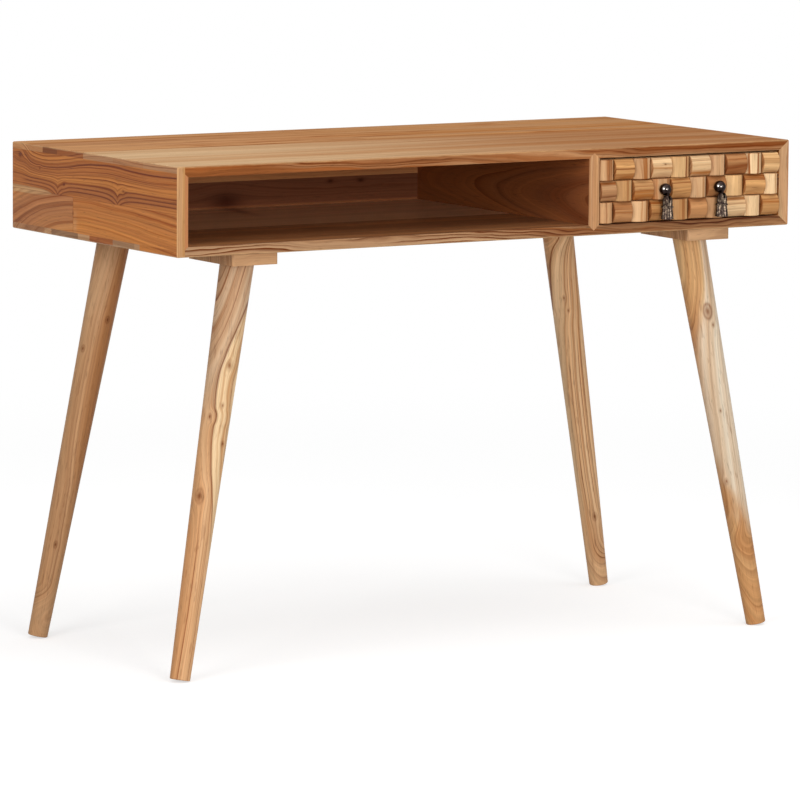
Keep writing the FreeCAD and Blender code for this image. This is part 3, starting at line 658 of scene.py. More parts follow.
class DESK_OT_top(bpy.types.Operator):
    """Finish the top of the case"""

    bl_idname = "desk.top"
    bl_label = "Top"

    def planks(self, finish, wood, place):
        """A pale plank in front and a redder one with flecks behind it, both darker toward the drawer."""
        x, y, z = place
        right = finish.smooth(x, *TOP_DARKENS)
        front = figure(finish, place, Look(
            pale=finish.mix(right, blend(wood.cream, wood.honey, 0.45), blend(wood.tan, wood.russet, 0.30)),
            deep=finish.mix(right, blend(wood.honey, wood.tan, 0.25), blend(wood.chestnut, wood.russet, 0.4)),
            seed=1.0, pith=(-0.60, 0.75), wander=0.05, lines=0.35, spacing=0.011, bands=26.0, streaks=0.4,
            streak_count=40.0))
        back = figure(finish, place, Look(
            pale=finish.mix(right, blend(wood.rose, wood.copper, 0.5), blend(wood.tan, wood.copper, 0.25)),
            deep=finish.mix(
                right, blend(wood.rose, wood.russet, 0.6), blend(wood.chestnut, wood.copper, 0.45)),
            seed=10.0, pith=(0.60, 0.72), wander=0.06, lines=0.5, spacing=0.013, bands=34.0, streaks=0.7,
            streak_count=44.0))
        fleck = finish.noise(x * 7.0, y * 60.0, z * 60.0, 6.0, detail=1.0)
        back = darken(finish, back, finish.smooth(fleck, 0.61, 0.72) * 0.7, TOP_FLECK)
        return glue(finish, front, back, y - TOP_SEAM)

    def edge(self, finish, wood, place):
        """The front edge: brown with a swirl, dark at the left and over the drawer."""
        x = place[0]
        plain = finish.smooth(x, *TOP_EDGE_PLAIN)
        edge = level_edge(
            finish, place, 21.0,
            finish.mix(plain, blend(wood.chestnut, wood.tan, 0.3), blend(wood.russet, wood.umber, 0.30)),
            finish.mix(plain, blend(wood.russet, wood.umber, 0.40), blend(wood.russet, wood.umber, 0.65)))
        middle, width = TOP_EDGE_SWIRL
        swirl = finish.bell(x - middle, width) * 0.35 + finish.smooth(x, *TOP_EDGE_DARK) * 0.4
        edge = Board(finish.tint(swirl, edge.colour, SWIRL_SHADE), edge.relief)
        return lay(finish, edge, x < EDGE_CORNER, upright_edge(finish, place, 8.0, wood.left_edge))

    def execute(self, context):
        wood = context.scene.desk_wood
        finish = new_finish("top_acacia")
        place = finish.place()
        board = self.planks(finish, wood, place)
        board = lay(finish, board, front_mask(finish, place[1]), self.edge(finish, wood, place))
        varnish(finish, wear_and_edge_highlight(finish, board, place, wood.worn), sheen=0.0)
        dress("top_panel", finish)
        return {"FINISHED"}


class DESK_OT_bottom(bpy.types.Operator):
    """Finish the bottom of the case, which is the floor of the shelf"""

    bl_idname = "desk.bottom"
    bl_label = "Bottom"

    def planks(self, finish, wood, place, below):
        """A dark plank in front with a dark streak, partly painted shade inside the shelf, and a paler one
        behind it, painted light there, with a painted shadow; plain from below.
        """
        x, y, _ = place
        inside = 1.0 - below
        # Inside the shelf the front plank is dark, partly its own tone and partly painted shade
        front = figure(finish, place, Look(
            pale=finish.mix(below, blend(wood.chestnut, wood.russet, 0.4), wood.tan),
            deep=finish.mix(below, blend(wood.chestnut, wood.shelf_shade_cocoa, 0.65), wood.chestnut),
            seed=17.0, pith=(-0.7, 0.75), wander=0.06, lines=0.8, spacing=0.012, bands=40.0, streaks=0.7,
            streak_count=60.0))
        spot_x, spot_y = FLOOR_STREAK
        length, width = FLOOR_STREAK_SIZE
        streak = finish.bell(x - spot_x, length) * finish.bell(y - spot_y, width)
        front = darken(finish, front, streak * inside * 0.8)
        # Inside the shelf the back plank is pale sand, which is painted light over the shade at the back of
        # the shelf
        back = figure(finish, place, Look(
            pale=finish.mix(below, wood.painted_light_sand, wood.tan),
            deep=finish.mix(below, blend(wood.honey, wood.rose, 0.5), wood.chestnut),
            seed=26.0, pith=(0.8, 0.72), wander=0.05, lines=0.5, spacing=0.012, bands=40.0, streaks=0.5,
            streak_count=60.0))
        # A painted shadow of the left end, leaning across the back of the floor
        painted_shadow = finish.bell(x - FLOOR_SHADOW - (y - SHELF_BACK) * 0.16, FLOOR_SHADOW_WIDTH)
        painted_shadow = painted_shadow * finish.smooth(y, *FLOOR_SHADOW_FADE)
        back = darken(finish, back, painted_shadow * inside * 0.9)
        return glue(finish, front, back, y - FLOOR_SEAM)

    def edge(self, finish, wood, place):
        """The front edge: tan at the left and brown under the drawer."""
        x = place[0]
        brown = finish.smooth(x, *BOTTOM_EDGE_BROWN)
        edge = level_edge(
            finish, place, 31.0,
            finish.mix(brown, blend(wood.tan, wood.umber, 0.28), blend(wood.chestnut, wood.umber, 0.32)),
            finish.mix(brown, blend(wood.chestnut, wood.umber, 0.50), blend(wood.chestnut, wood.umber, 0.72)),
            lines=2.6)
        return lay(finish, edge, x < EDGE_CORNER, upright_edge(finish, place, 8.0, wood.left_edge))

    def execute(self, context):
        wood = context.scene.desk_wood
        finish = new_finish("bottom_acacia")
        place = finish.place()
        _, y, z = place
        below = z < SHELF_FLOOR - FLOOR_SKIN
        board = self.planks(finish, wood, place, below)
        board = lay(finish, board, front_mask(finish, y), self.edge(finish, wood, place))
        shelf = finish.smooth(y, *FLOOR_GLOSS) * (1.0 - below)
        varnish(finish, wear_and_edge_highlight(finish, board, place, wood.worn), coat=shelf)
        dress("bottom_panel", finish)
        return {"FINISHED"}


class DESK_OT_ends(bpy.types.Operator):
    """Finish the two ends of the case"""

    bl_idname = "desk.ends"
    bl_label = "Ends"

    def staves(self, finish, wood, way, upper):
        """Tones of the short pieces end to end along the upper and the lower rim."""
        plain = blend(wood.tan, wood.russet, 0.40)
        pale = blend(wood.tan, wood.honey, 0.5)
        grey = blend(wood.tan, wood.umber, 0.45)
        top = finish.pieces(way, (
            (0.0, blend(wood.copper, wood.tan, 0.5)), (0.19, blend(wood.russet, wood.umber, 0.5)),
            (0.28, blend(wood.russet, wood.umber, 0.15)), (0.44, plain),
            (0.62, blend(plain, wood.russet, 0.25)), (0.80, plain)))
        bottom = finish.pieces(way, (
            (0.0, plain), (0.20, pale), (0.245, grey), (0.41, pale), (0.48, wood.russet),
            (0.62, blend(grey, wood.tan, 0.4)), (0.75, wood.tan), (0.78, wood.copper)))
        return finish.mix(upper, bottom, top)

    def planks(self, finish, wood, place, seed):
        """An upper plank with lines that run down to points, two lower planks and rims of staves."""
        x, y, z = place
        way = (CASE_HIGH.y - y) / (CASE_HIGH.y - CASE_LOW.y)
        above = z - END_SEAM
        upper = above > 0.0
        lower = 1.0 - upper
        right = y < END_BUTT
        rim = finish.least(CASE_HIGH.z - z, z - CASE_LOW.z) < END_STAVE

        # Growth lines: waves over points and knots on the upper plank, arches on the lower ones
        pinch = sum(
            finish.math("EXPONENT", abs(y - spot) / -END_POINT_WIDTH) * depth for spot, depth in END_POINTS)
        pinch = pinch * finish.bell(above, END_POINT_HEIGHT)
        rise = z + pinch + (finish.guide(way, END_WAVE) - 0.3) * 0.05 * finish.smooth(above, *END_WAVE_FADE)
        push, hearts = knots(finish, y, z, END_KNOTS, 1.2)
        arch = finish.length((y - END_ARCH[0]) * 0.338, z - END_ARCH[1]) + END_ARCH[1]
        ring = pick(upper, pick(right, arch, pick(0.2, z, arch)), rise - push)

        # Tones: a pale lens over the glue line at the back and a pale strip beside the butt
        lens = 1.0 - finish.smooth(abs(above) + pinch, *END_LENS)
        lens = lens * finish.smooth(way, *END_LENS_TIP) * 0.9
        strip = finish.bell(y - END_BUTT + END_STRIP, END_STRIP) * right * lower * 0.6
        stave = self.staves(finish, wood, way, upper)
        pale = finish.mix(right, blend(wood.copper, wood.tan, 0.25), wood.copper)
        pale = finish.mix(upper, pale, blend(wood.copper, wood.russet, 0.30))
        pale = finish.mix(strip, pale, blend(wood.honey, wood.amber, 0.5))
        pale = finish.mix(lens, pale, blend(wood.straw, wood.amber, 0.25))
        pale = finish.mix(rim, pale, stave)
        deep = finish.mix(right, blend(wood.russet, wood.tan, 0.2), blend(wood.copper, wood.russet, 0.6))
        deep = finish.mix(upper, deep, blend(wood.russet, wood.umber, 0.05))
        deep = finish.mix(lens, deep, blend(wood.amber, wood.tan, 0.5))
        deep = finish.mix(rim, deep, finish.tint(1.0, stave, STAVE_SHADE))
        board = figure(finish, (y + upper * 3.1 + right * lower * 1.7 + rim * 5.3, z, x), Look(
            pale, deep, seed, wander=pick(upper, 0.022, 0.012), lines=pick(upper, 0.6, 1.2), spacing=0.0054,
            bands=58.0, streaks=0.95, streak_count=190.0), ring)

        # Marks: dark lines and knots on the upper plank, the butt with its knot, and the glue line
        lines = sum(finish.bell(ring - level, width) * strength for level, width, strength in END_LINES)
        marks = (lines * finish.smooth(way, 0.05, 0.10) + hearts * 0.8) * upper
        _, heart = knot(finish, z - END_BUTT_KNOT[0], y - END_BUTT, END_BUTT_KNOT[1])
        butt = heart * 0.8 + glue_line(finish, y - END_BUTT)
        marks = (marks + butt * lower) * (1.0 - rim) + glue_line(finish, above)
        return darken(finish, board, finish.least(marks, 1.0))

    def execute(self, context):
        wood = context.scene.desk_wood
        for node, seed, tone, reddish in (
            ("left_side", 3.0, wood.left_edge, LEFT_ARRIS),
            ("right_side", 29.0, wood.right_edge, RIGHT_ARRIS_SHADE),
        ):
            finish = new_finish(f"{node}_acacia")
            place = finish.place()
            x, y, _ = place
            board = self.planks(finish, wood, place, seed)
            edge = upright_edge(finish, place, 8.0, tone)
            # The reddish band on each end's edge: at the left an inner strip, at the right painted shade on
            # the outer arris
            red = finish.mix(finish.smooth(x, *reddish), edge.colour, blend(wood.russet, wood.tan, 0.3))
            board = lay(finish, board, front_mask(finish, y), Board(red, edge.relief))
            varnish(finish, wear_and_edge_highlight(finish, board, place, wood.worn))
            dress(node, finish)
        return {"FINISHED"}


class DESK_OT_shelf(bpy.types.Operator):
    """Finish the divider and the back of the case"""

    bl_idname = "desk.shelf"
    bl_label = "Divider and back"

    def divider(self, wood):
        """A reddish board, dark with painted shade and darker still in its front half, with arches toward the
        front, and a pale front edge.
        """
        finish = new_finish("divider_acacia")
        place = finish.place()
        x, y, z = place
        middle = z - DIVIDER_MIDDLE
        ring = (y + middle * middle / 0.0100) * 0.16
        # The darker front half is painted shade
        front = finish.smooth(y, *DIVIDER_FRONT_SHADE)
        board = figure(finish, (y, z, x), Look(
            pale=finish.mix(front, blend(wood.russet, wood.shelf_shade_cocoa, 0.2), blend(wood.russet, wood.shelf_shade_cocoa, 0.35)),
            deep=finish.mix(front, blend(wood.russet, wood.shelf_shade_cocoa, 0.5), blend(wood.russet, wood.shelf_shade_cocoa, 0.75)),
            seed=41.0, wander=0.03, lines=0.45, spacing=0.0085, bands=50.0, streaks=0.5,
            streak_count=90.0), ring)
        edge = upright_edge(finish, place, 44.0, wood.left_edge)
        varnish(finish, lay(finish, board, front_mask(finish, y), edge))
        dress("divider", finish)

    def back(self, wood):
        """A dark board toward the shelf, its darkness painted shade, with knots, a painted shadow and paler
        strips, and a plain tan one outside.
        """
        finish = new_finish("back_acacia")
        x, y, z = finish.place()
        push, hearts = knots(finish, x, z, BACK_KNOTS, 0.8)
        ring = z - push
        outside = finish.smooth(y, *BACK_OUTSIDE)
        inside = 1.0 - outside
        # Toward the shelf the board is dark cocoa, which is painted shade; outside it is plain tan
        board = figure(finish, (x, z, y), Look(
            pale=finish.mix(outside, wood.shelf_shade_cocoa, wood.tan),
            deep=finish.mix(outside, blend(wood.shelf_shade_cocoa, wood.umber, 0.35), wood.chestnut),
            seed=51.0, wander=0.016, lines=0.25, spacing=0.010, bands=45.0, streaks=0.5), ring)
        strips = figure(finish, (x, z, y), Look(
            pale=blend(wood.chestnut, wood.russet, 0.3), deep=blend(wood.chestnut, wood.russet, 0.7),
            seed=57.0, wander=0.02, lines=0.4, spacing=0.006), ring)
        mask = finish.smooth(z, *BACK_UPPER_STRIP) + finish.smooth(z, *BACK_LOWER_STRIP) * 0.35
        board = lay(finish, board, mask * inside, strips)
        # Dark knot hearts; the large low one at the left is a painted shadow of the left end
        varnish(finish, darken(finish, board, hearts * inside * 0.9))
        dress("back_panel", finish)

    def execute(self, context):
        wood = context.scene.desk_wood
        self.divider(wood)
        self.back(wood)
        return {"FINISHED"}


def leg_axis(node):
    """Foot of a leg's axis, the unit vector up the leg and its length."""
    points = [vertex.co for vertex in NODES[node].data.vertices]
    top_from = max(point.z for point in points) - LEG_TOP_SLICE
    foot_to = min(point.z for point in points) + LEG_FOOT_SLICE
    ends = []
    for chosen in ([p for p in points if p.z > top_from], [p for p in points if p.z < foot_to]):
        ends.append(sum(chosen, Vector()) / len(chosen))
    axis = ends[0] - ends[1]
    return ends[1], axis.normalized(), axis.length


class LegStock(NamedTuple):
    """Wood of a leg: a tone on either side of a border that runs up the leg, tones for its upper part and its
    foot, and knots.

    A border point is a share of the height and a place across; a knot is a share of the height, a place
    across, a size in metres and how far a ring round it shows. Places across run from -1 at the left outline
    to 1 at the right one. Softness is the width of the border, line how dark it is. Below the height of the
    arches, growth lines cross the leg in arches; figuring is how strongly lines show.
    """

    left: object
    right: object
    upper: object
    upper_from: float
    foot: object
    foot_to: float
    seed: float
    softness: float
    line: float
    arches: float
    figuring: float
    border: tuple
    knots: tuple


class DESK_OT_legs(bpy.types.Operator):
    """Finish the four legs"""

    bl_idname = "desk.legs"
    bl_label = "Legs"

    def stocks(self, wood):
        """The wood of each leg."""
        return {
            # The back left leg's darker right side, as the camera sees it, is painted shade
            "back_left_leg": LegStock(
                left=blend(wood.tan, wood.chestnut, 0.40), right=blend(wood.tan, wood.chestnut, 0.95),
                upper=wood.tan, upper_from=0.8, foot=blend(wood.tan, wood.chestnut, 0.3), foot_to=0.2,
                seed=61.0, softness=0.45, line=0.0, arches=0.14, figuring=0.4,
                border=((0.0, 0.9), (0.35, 0.7), (0.5, 0.25), (0.75, 0.15), (1.0, 0.5)),
                knots=((0.723, -0.65, 0.0035, 0.6), (0.804, 0.6, 0.0035, 0.6), (0.233, 0.05, 0.0035, 0.5))),
            "front_left_leg": LegStock(
                left=blend(wood.honey, wood.rose, 0.4), right=blend(wood.cream, wood.straw, 0.3),
                upper=blend(wood.tan, wood.bone, 0.30), upper_from=0.68, foot=wood.honey, foot_to=0.2,
                seed=67.0, softness=0.05, line=0.9, arches=0.0, figuring=0.8,
                border=((0.0, 1.2), (0.24, 1.0), (0.387, 0.76), (0.453, 0.48), (0.52, 0.12), (0.60, -0.06),
                        (0.627, 0.06), (0.653, -0.14), (0.707, -0.2), (0.773, 0.08), (0.847, 0.6),
                        (0.893, 0.9), (1.0, 1.4)),
                knots=((0.753, 0.44, 0.0055, 0.2), (0.657, 0.37, 0.0030, 0.2), (0.627, -0.4, 0.0035, 0.3),
                       (0.437, -0.4, 0.0070, 0.5), (0.567, 0.74, 0.0030, 0.2))),
            "back_right_leg": LegStock(
                left=blend(wood.tan, wood.russet, 0.15), right=blend(wood.honey, wood.cream, 0.5),
                upper=wood.honey, upper_from=0.85, foot=blend(wood.honey, wood.tan, 0.5), foot_to=0.2,
                seed=71.0, softness=0.06, line=0.9, arches=0.14, figuring=0.9,
                border=((0.0, -1.4), (0.70, -1.2), (0.757, -1.0), (0.87, -0.78), (0.91, -0.58), (0.95, 0.0),
                        (1.0, 0.7)),
                knots=((0.19, 0.35, 0.0045, 0.4), (0.79, -0.1, 0.0030, 0.2), (0.755, 0.1, 0.0025, 0.0))),
            "front_right_leg": LegStock(
                left=blend(wood.amber, wood.honey, 0.60), right=wood.bone,
                upper=blend(wood.straw, wood.golden, 0.25), upper_from=0.84,
                foot=blend(wood.golden, wood.honey, 0.3), foot_to=0.32,
                seed=77.0, softness=0.60, line=0.0, arches=0.30, figuring=0.38,
                border=((0.0, -1.5), (0.30, -1.3), (0.42, -1.2), (0.55, -1.0), (0.66, -0.75), (0.74, -0.5),
                        (0.80, -0.1), (0.86, 0.25), (0.93, 0.45), (1.0, 0.5)),
                knots=((0.812, 0.35, 0.0075, 1.0), (0.775, 0.56, 0.0030, 0.2), (0.557, 0.08, 0.0025, 0.2),
                       (0.376, -0.4, 0.0035, 0.3))),
        }

    def tone(self, finish, stock, height, lean, offset, patch):
        """Tones across the border, and those of the upper part and the patchy foot."""
        tone = finish.mix(finish.smooth(offset, -stock.softness, stock.softness), stock.left, stock.right)
        upper = finish.smooth(height, stock.upper_from - 0.10, stock.upper_from + 0.06)
        tone = finish.mix(upper * (1.0 - finish.smooth(offset, 0.0, 0.2)), tone, stock.upper)
        low = height + lean * 0.05 + (patch - 0.5) * 0.24
        return finish.mix(finish.smooth(low, stock.foot_to + 0.09, stock.foot_to - 0.09), tone, stock.foot)

    def board(self, finish, node, stock):
        """The figure of a leg, laid out on the side that the camera sees."""
        foot, axis, length = leg_axis(node)
        side = (VIEW_RIGHT - axis * VIEW_RIGHT.dot(axis)).normalized()
        x, y, z = finish.place()
        along, across, depth = (
            (x - foot.x) * way.x + (y - foot.y) * way.y + (z - foot.z) * way.z
            for way in (axis, side, axis.cross(side))
        )
        height = along / length
        radius = height * LEG_TAPER + LEG_FOOT
        lean = across / radius
        points = [(share, (spot / BORDER_REACH + 1.0) / 2.0) for share, spot in stock.border]
        offset = lean - (finish.guide(height, points) * 2.0 - 1.0) * BORDER_REACH
        ring = offset * radius + depth * 0.4
        near = finish.smooth(depth, *LEG_FACE)
        marks = 0.0
        for share, spot, size, halo in stock.knots:
            up = along - share * length
            out = across - spot * (share * LEG_TAPER + LEG_FOOT)
            push, heart = knot(finish, up * 0.9, out, size)
            ring = ring - push * near
            eye = finish.bell(finish.length(up * 0.55, out) - size * 0.85, size * 0.20) * halo
            marks = marks + heart + eye * 0.6
        arch = along * 0.18 - across * across * 11.0 + across * 0.25
        ring = pick(finish.smooth(height, stock.arches, stock.arches - 0.10), ring, arch)
        patch = finish.noise(along * 14.0, across * 40.0, depth * 40.0, stock.seed + 10.0)
        tone = self.tone(finish, stock, height, lean, offset, patch)
        board = figure(finish, (along, across, depth), Look(
            pale=tone, deep=finish.tint(1.0, tone, LEG_SHADE), seed=stock.seed, wander=0.014,
            lines=stock.figuring * 0.9, spacing=0.0055, bands=70.0, streaks=stock.figuring * 0.95,
            streak_count=150.0), ring)
        fleck = finish.noise(along * 34.0, across * 190.0, depth * 190.0, stock.seed + 9.0)
        line = finish.bell(offset, 0.05) * stock.line * finish.smooth(height, 0.25, 0.45)
        marks = (line + marks * 0.85) * near + finish.smooth(fleck, 0.61, 0.70) * 0.25
        return darken(finish, board, finish.least(marks, 1.0))

    def execute(self, context):
        for node, stock in self.stocks(context.scene.desk_wood).items():
            finish = new_finish(f"{node}_acacia")
            varnish(finish, self.board(finish, node, stock), gloss=0.46)
            dress(node, finish)
        return {"FINISHED"}


class DESK_OT_blocks(bpy.types.Operator):
    """Finish the blocks under the case"""

    bl_idname = "desk.blocks"
    bl_label = "Leg blocks"

    def execute(self, context):
        wood = context.scene.desk_wood
        finish = new_finish("block_acacia")
        x, y, z = finish.place()
        shift = (x > 0.0) * 2.3 + (y > 0.0) * 1.1
        board = figure(finish, (x + shift, y, z), Look(
            pale=blend(wood.honey, wood.tan, 0.8), deep=blend(wood.tan, wood.chestnut, 0.5), seed=81.0,
            pith=(0.3, 0.55), wander=0.03, lines=0.6, spacing=0.006, bands=60.0))
        varnish(finish, board, gloss=0.46)
        for end in ("front", "back"):
            for side in ("left", "right"):
                dress(f"{end}_{side}_leg_block", finish)
        return {"FINISHED"}


class DESK_OT_drawer_box(bpy.types.Operator):
    """Finish the drawer box, its stops and its catch"""

    bl_idname = "desk.drawer_box"
    bl_label = "Drawer box"

    def execute(self, context):
        wood = context.scene.desk_wood
        deep = blend(wood.drawer, wood.tan, 0.7)
        turned = {"drawer_left_side", "drawer_right_side", "drawer_bottom"}
        for node, seed in (
            ("drawer_front", 91.0), ("drawer_back", 92.0), ("drawer_left_side", 93.0),
            ("drawer_right_side", 94.0), ("drawer_bottom", 95.0), ("drawer_stops", 96.0),
            ("pull_out_catch", 97.0),
        ):
            finish = new_finish(f"{node}_wood")
            x, y, z = finish.place()
            spot = (y, z + x * 0.6, x) if node in turned else (x, z, y)
            board = figure(finish, spot, Look(
                pale=wood.drawer, deep=deep, seed=seed, pith=(0.4, 0.1), wander=0.04, lines=0.35,
                spacing=0.008))
            varnish(finish, board, gloss=0.55)
            dress(node, finish)
        return {"FINISHED"}


class DESK_OT_fixings(bpy.types.Operator):
    """Finish the screws, bolts and inserts"""

    bl_idname = "desk.fixings"
    bl_label = "Fixings"

    def execute(self, context):
        metal = context.scene.desk_metal
        finish = new_finish("plated_steel")
        x, y, z = finish.place()
        spangle = finish.noise(x * 400.0, y * 400.0, z * 400.0, 5.0)
        finish.surface({
            "Base Color": finish.mix(spangle, metal.spangle, metal.zinc),
            "Metallic": 1.0,
            "Roughness": spangle * 0.2 + 0.28,
        })
        for node in ("hanger_bolts", "threaded_inserts", "block_screws", "knob_screws"):
            dress(node, finish)
        return {"FINISHED"}


def solids(node):
    """Lowest and highest corner of each separate solid in a node, from left to right."""
    mesh = bmesh.new()
    mesh.from_mesh(NODES[node].data)
    bmesh.ops.remove_doubles(mesh, verts=mesh.verts, dist=1e-6)
    waiting = set(mesh.verts)
    boxes = []
    while waiting:
        edge = [waiting.pop()]
        points = []
        while edge:
            vertex = edge.pop()
            points.append(vertex.co.copy())
            for link in vertex.link_edges:
                neighbour = link.other_vert(vertex)
                if neighbour in waiting:
                    waiting.discard(neighbour)
                    edge.append(neighbour)
        boxes.append((Vector(map(min, *points)), Vector(map(max, *points))))
    mesh.free()
    return sorted(boxes, key=lambda box: box[0].x)


def new_piece(name, mesh, finish, body, slot, *nodes):
    """Makes an object from a mesh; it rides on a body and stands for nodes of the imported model."""
    data = bpy.data.meshes.new(name)
    mesh.to_mesh(data)
    mesh.free()
    data.materials.append(finish.owner)
    piece = bpy.data.objects.new(name, data)
    bpy.context.scene.collection.objects.link(piece)
    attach(piece, body)
    if nodes:
        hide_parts(*nodes)


def crowned_tile(mesh, low, high, upright, easing):
    """Adds a tile with a crowned face and eased edges to a mesh."""
    width = (high.x - low.x) if upright else (high.z - low.z)
    radius = (width * width / 4.0 + TILE_CROWN * TILE_CROWN) / (2.0 * TILE_CROWN)
    half_angle = math.asin(width / 2.0 / radius)
    outline = []
    for step in range(TILE_STEPS + 1):
        angle = half_angle * (2.0 * step / TILE_STEPS - 1.0)
        outline.append((width / 2.0 + radius * math.sin(angle), radius * (1.0 - math.cos(angle))))
    outline += [(width, high.y - low.y), (0.0, high.y - low.y)]
    rings = []
    for end in ((low.z, high.z) if upright else (low.x, high.x)):
        ring = []
        for a, b in outline:
            point = (low.x + a, low.y + b, end) if upright else (end, low.y + b, low.z + a)
            ring.append(mesh.verts.new(point))
        rings.append(ring)
    count = len(outline)
    faces = [mesh.faces.new(rings[0]), mesh.faces.new(list(reversed(rings[1])))]
    for n in range(count):
        m = (n + 1) % count
        faces.append(mesh.faces.new((rings[0][m], rings[0][n], rings[1][n], rings[1][m])))
    bmesh.ops.recalc_face_normals(mesh, faces=faces)
    sharp = [edge for edge in {e for f in faces for e in f.edges} if edge.calc_face_angle(0.0) > TILE_SHARP]
    bmesh.ops.bevel(mesh, geom=sharp, offset=easing, segments=2, profile=0.5, affect="EDGES")


class DESK_OT_weave(bpy.types.Operator):
    """Make the basket-weave face of the drawer, tile by tile"""

    bl_idname = "desk.weave"
    bl_label = "Basket-weave face"

    def tile_finish(self):
        """Wood of the tiles, from the stock and the grain that each tile carries, with painted shade along
        its joints.
        """
        finish = new_finish("tile_acacia")
        stock = finish.attribute("stock", "Color")
        board = figure(finish, finish.parts(finish.attribute("grain", "Vector")), Look(
            pale=finish.tint(1.0, stock, TILE_LIGHT), deep=finish.tint(1.0, stock, TILE_SHADE), seed=101.0,
            pith=(0.06, 0.09), wander=0.016, lines=1.3, spacing=0.0052, bands=95.0, streaks=1.4,
            streak_count=170.0))
        gaps = []
        for corner in ("from_low", "from_high"):
            sideways, _, upward = finish.parts(finish.attribute(corner, "Vector"))
            gaps += [sideways, upward]
        # Painted shade along the joints, fading over a millimetre or so onto each tile
        joint_shade = finish.smooth(finish.least(*gaps), *TILE_JOINT_FADE)
        board = darken(finish, board, joint_shade * 0.6, TILE_JOINT_SHADE)
        x, _, z = finish.place()
        spot, height, size = TILE_KNOT
        _, heart = knot(finish, x - spot, z - height, size)
        varnish(finish, darken(finish, board, heart * 0.9), gloss=0.46)
        return finish

    def tiles(self, scene, finish, row, chance):
        """Makes a row of tiles, as one piece for each way of the grain."""
        boxes = [(box, grain) for grain in GRAINS for box in solids(f"{row}_row_{grain}_tiles")]
        boxes.sort(key=lambda entry: entry[0][0].x)
        names = TILE_STOCK[row].split()
        for grain in GRAINS:
            mesh = bmesh.new()
            stock_layer = mesh.verts.layers.float_color.new("stock")
            grain_layer = mesh.verts.layers.float_vector.new("grain")
            low_layer = mesh.verts.layers.float_vector.new("from_low")
            high_layer = mesh.verts.layers.float_vector.new("from_high")
            for name, ((low, high), kind) in zip(names, boxes):
                if kind != grain:
                    continue
                known = set(mesh.verts)
                crowned_tile(mesh, low, high, grain == "upright", scene.desk_sizes.easing)
                shift = Vector([chance.uniform(*span) for span in TILE_SHIFT])
                for vertex in set(mesh.verts) - known:
                    away = vertex.co - low
                    local = (away.z, away.x, away.y) if grain == "upright" else (away.x, away.z, away.y)
                    vertex[grain_layer] = Vector(local) + shift
                    vertex[stock_layer] = colour(getattr(scene.desk_wood, name))
                    vertex[low_layer] = away
                    vertex[high_layer] = high - vertex.co
            node = f"{row}_row_{grain}_tiles"
            new_piece(f"{row}_{grain}_tiles", mesh, finish, "drawer", "tile_acacia", node)

    def execute(self, context):
        finish = self.tile_finish()
        chance = random.Random(7)
        for row in TILE_STOCK:
            self.tiles(context.scene, finish, row, chance)
        return {"FINISHED"}


def bronze_cloud(finish, place):
    """Cloudy patches of the bronze."""
    x, y, z = place
    return finish.noise(x * 260.0, y * 260.0, z * 260.0, 7.0, detail=4.0)


def bronze(name, base, bright, gloss):
    """Dark bronze, rubbed bright in places."""
    finish = new_finish(name)
    place = finish.place()
    x, y, z = place
    cloud = bronze_cloud(finish, place)
    finish.surface({
        "Base Color": finish.mix(finish.smooth(cloud, 0.42, 0.66), base, bright),
        "Metallic": 1.0,
        "Roughness": cloud * 0.16 + gloss,
    }, finish.noise(x * 1800.0, y * 1800.0, z * 1800.0, 9.0), BRONZE_RELIEF)
    return finish


def polished_bronze(metal, knobs):
    """Nearly black polished bronze of the balls, with painted highlights where the lamps' highlights fall."""
    finish = new_finish("polished_bronze")
    place = finish.place()
    cloud = bronze_cloud(finish, place)
    # Painted highlights: bright spots on each ball where the lamps' highlights fall
    rubbed = 0.0
    for low, high in knobs:
        radius = (high.x - low.x) / 2.0
        middle = (low.x + radius, low.y + radius, high.z - radius)
        for spot, width, strength in PAINTED_HIGHLIGHTS:
            a, b, c = (
                (value - centre) / radius - share for value, centre, share in zip(place, middle, spot))
            rubbed = rubbed + finish.bell(finish.length(finish.length(a, b), c), width) * strength
    dark = blend(metal.bronze, BLACK, 0.35)
    tone = finish.mix(finish.smooth(cloud, 0.42, 0.66), dark, metal.bronze)
    finish.surface({
        "Base Color": finish.mix(rubbed, tone, metal.bright),
        "Metallic": 1.0,
        "Roughness": cloud * 0.08 + 0.06,
    })
    return finish


def cord(mesh, axis, points, radius, sides=6):
    """Adds a round cord through points to a mesh; it lies round an upright axis."""
    rings = []
    for number, point in enumerate(points):
        ahead = (points[min(number + 1, len(points) - 1)] - points[max(number - 1, 0)]).normalized()
        outward = Vector((point.x - axis.x, point.y - axis.y, 0.0)).normalized()
        side = ahead.cross(outward).normalized()
        outward = side.cross(ahead)
        ring = []
        for step in range(sides):
            angle = 2.0 * math.pi * step / sides
            ring.append(mesh.verts.new(point + (outward * math.cos(angle) + side * math.sin(angle)) * radius))
        rings.append(ring)
    for first, second in zip(rings, rings[1:]):
        for n in range(sides):
            m = (n + 1) % sides
            mesh.faces.new((first[n], first[m], second[m], second[n]))
    mesh.faces.new(list(reversed(rings[0])))
    mesh.faces.new(rings[-1])


def round_axis(axis, angle, radius, height):
    """A point at an angle and a height round an upright axis."""
    return Vector((axis.x + radius * math.cos(angle), axis.y + radius * math.sin(angle), height))


def twisted_band(mesh, axis, height, thickness, steps=144, sides=10):
    """Adds a ring of twisted cord to a mesh."""
    rings = []
    for step in range(steps):
        way = 2.0 * math.pi * step / steps
        ring = []
        for n in range(sides):
            angle = 2.0 * math.pi * n / sides
            swell = thickness * (0.84 + 0.16 * math.cos(2.0 * angle + BAND_TURNS * way))
            reach = BAND_RADIUS + swell * math.cos(angle)
            ring.append(mesh.verts.new(round_axis(axis, way, reach, height + swell * math.sin(angle))))
        rings.append(ring)
    for first, second in zip(rings, rings[1:] + rings[:1]):
        for n in range(sides):
            m = (n + 1) % sides
            mesh.faces.new((first[n], second[n], second[m], first[m]))


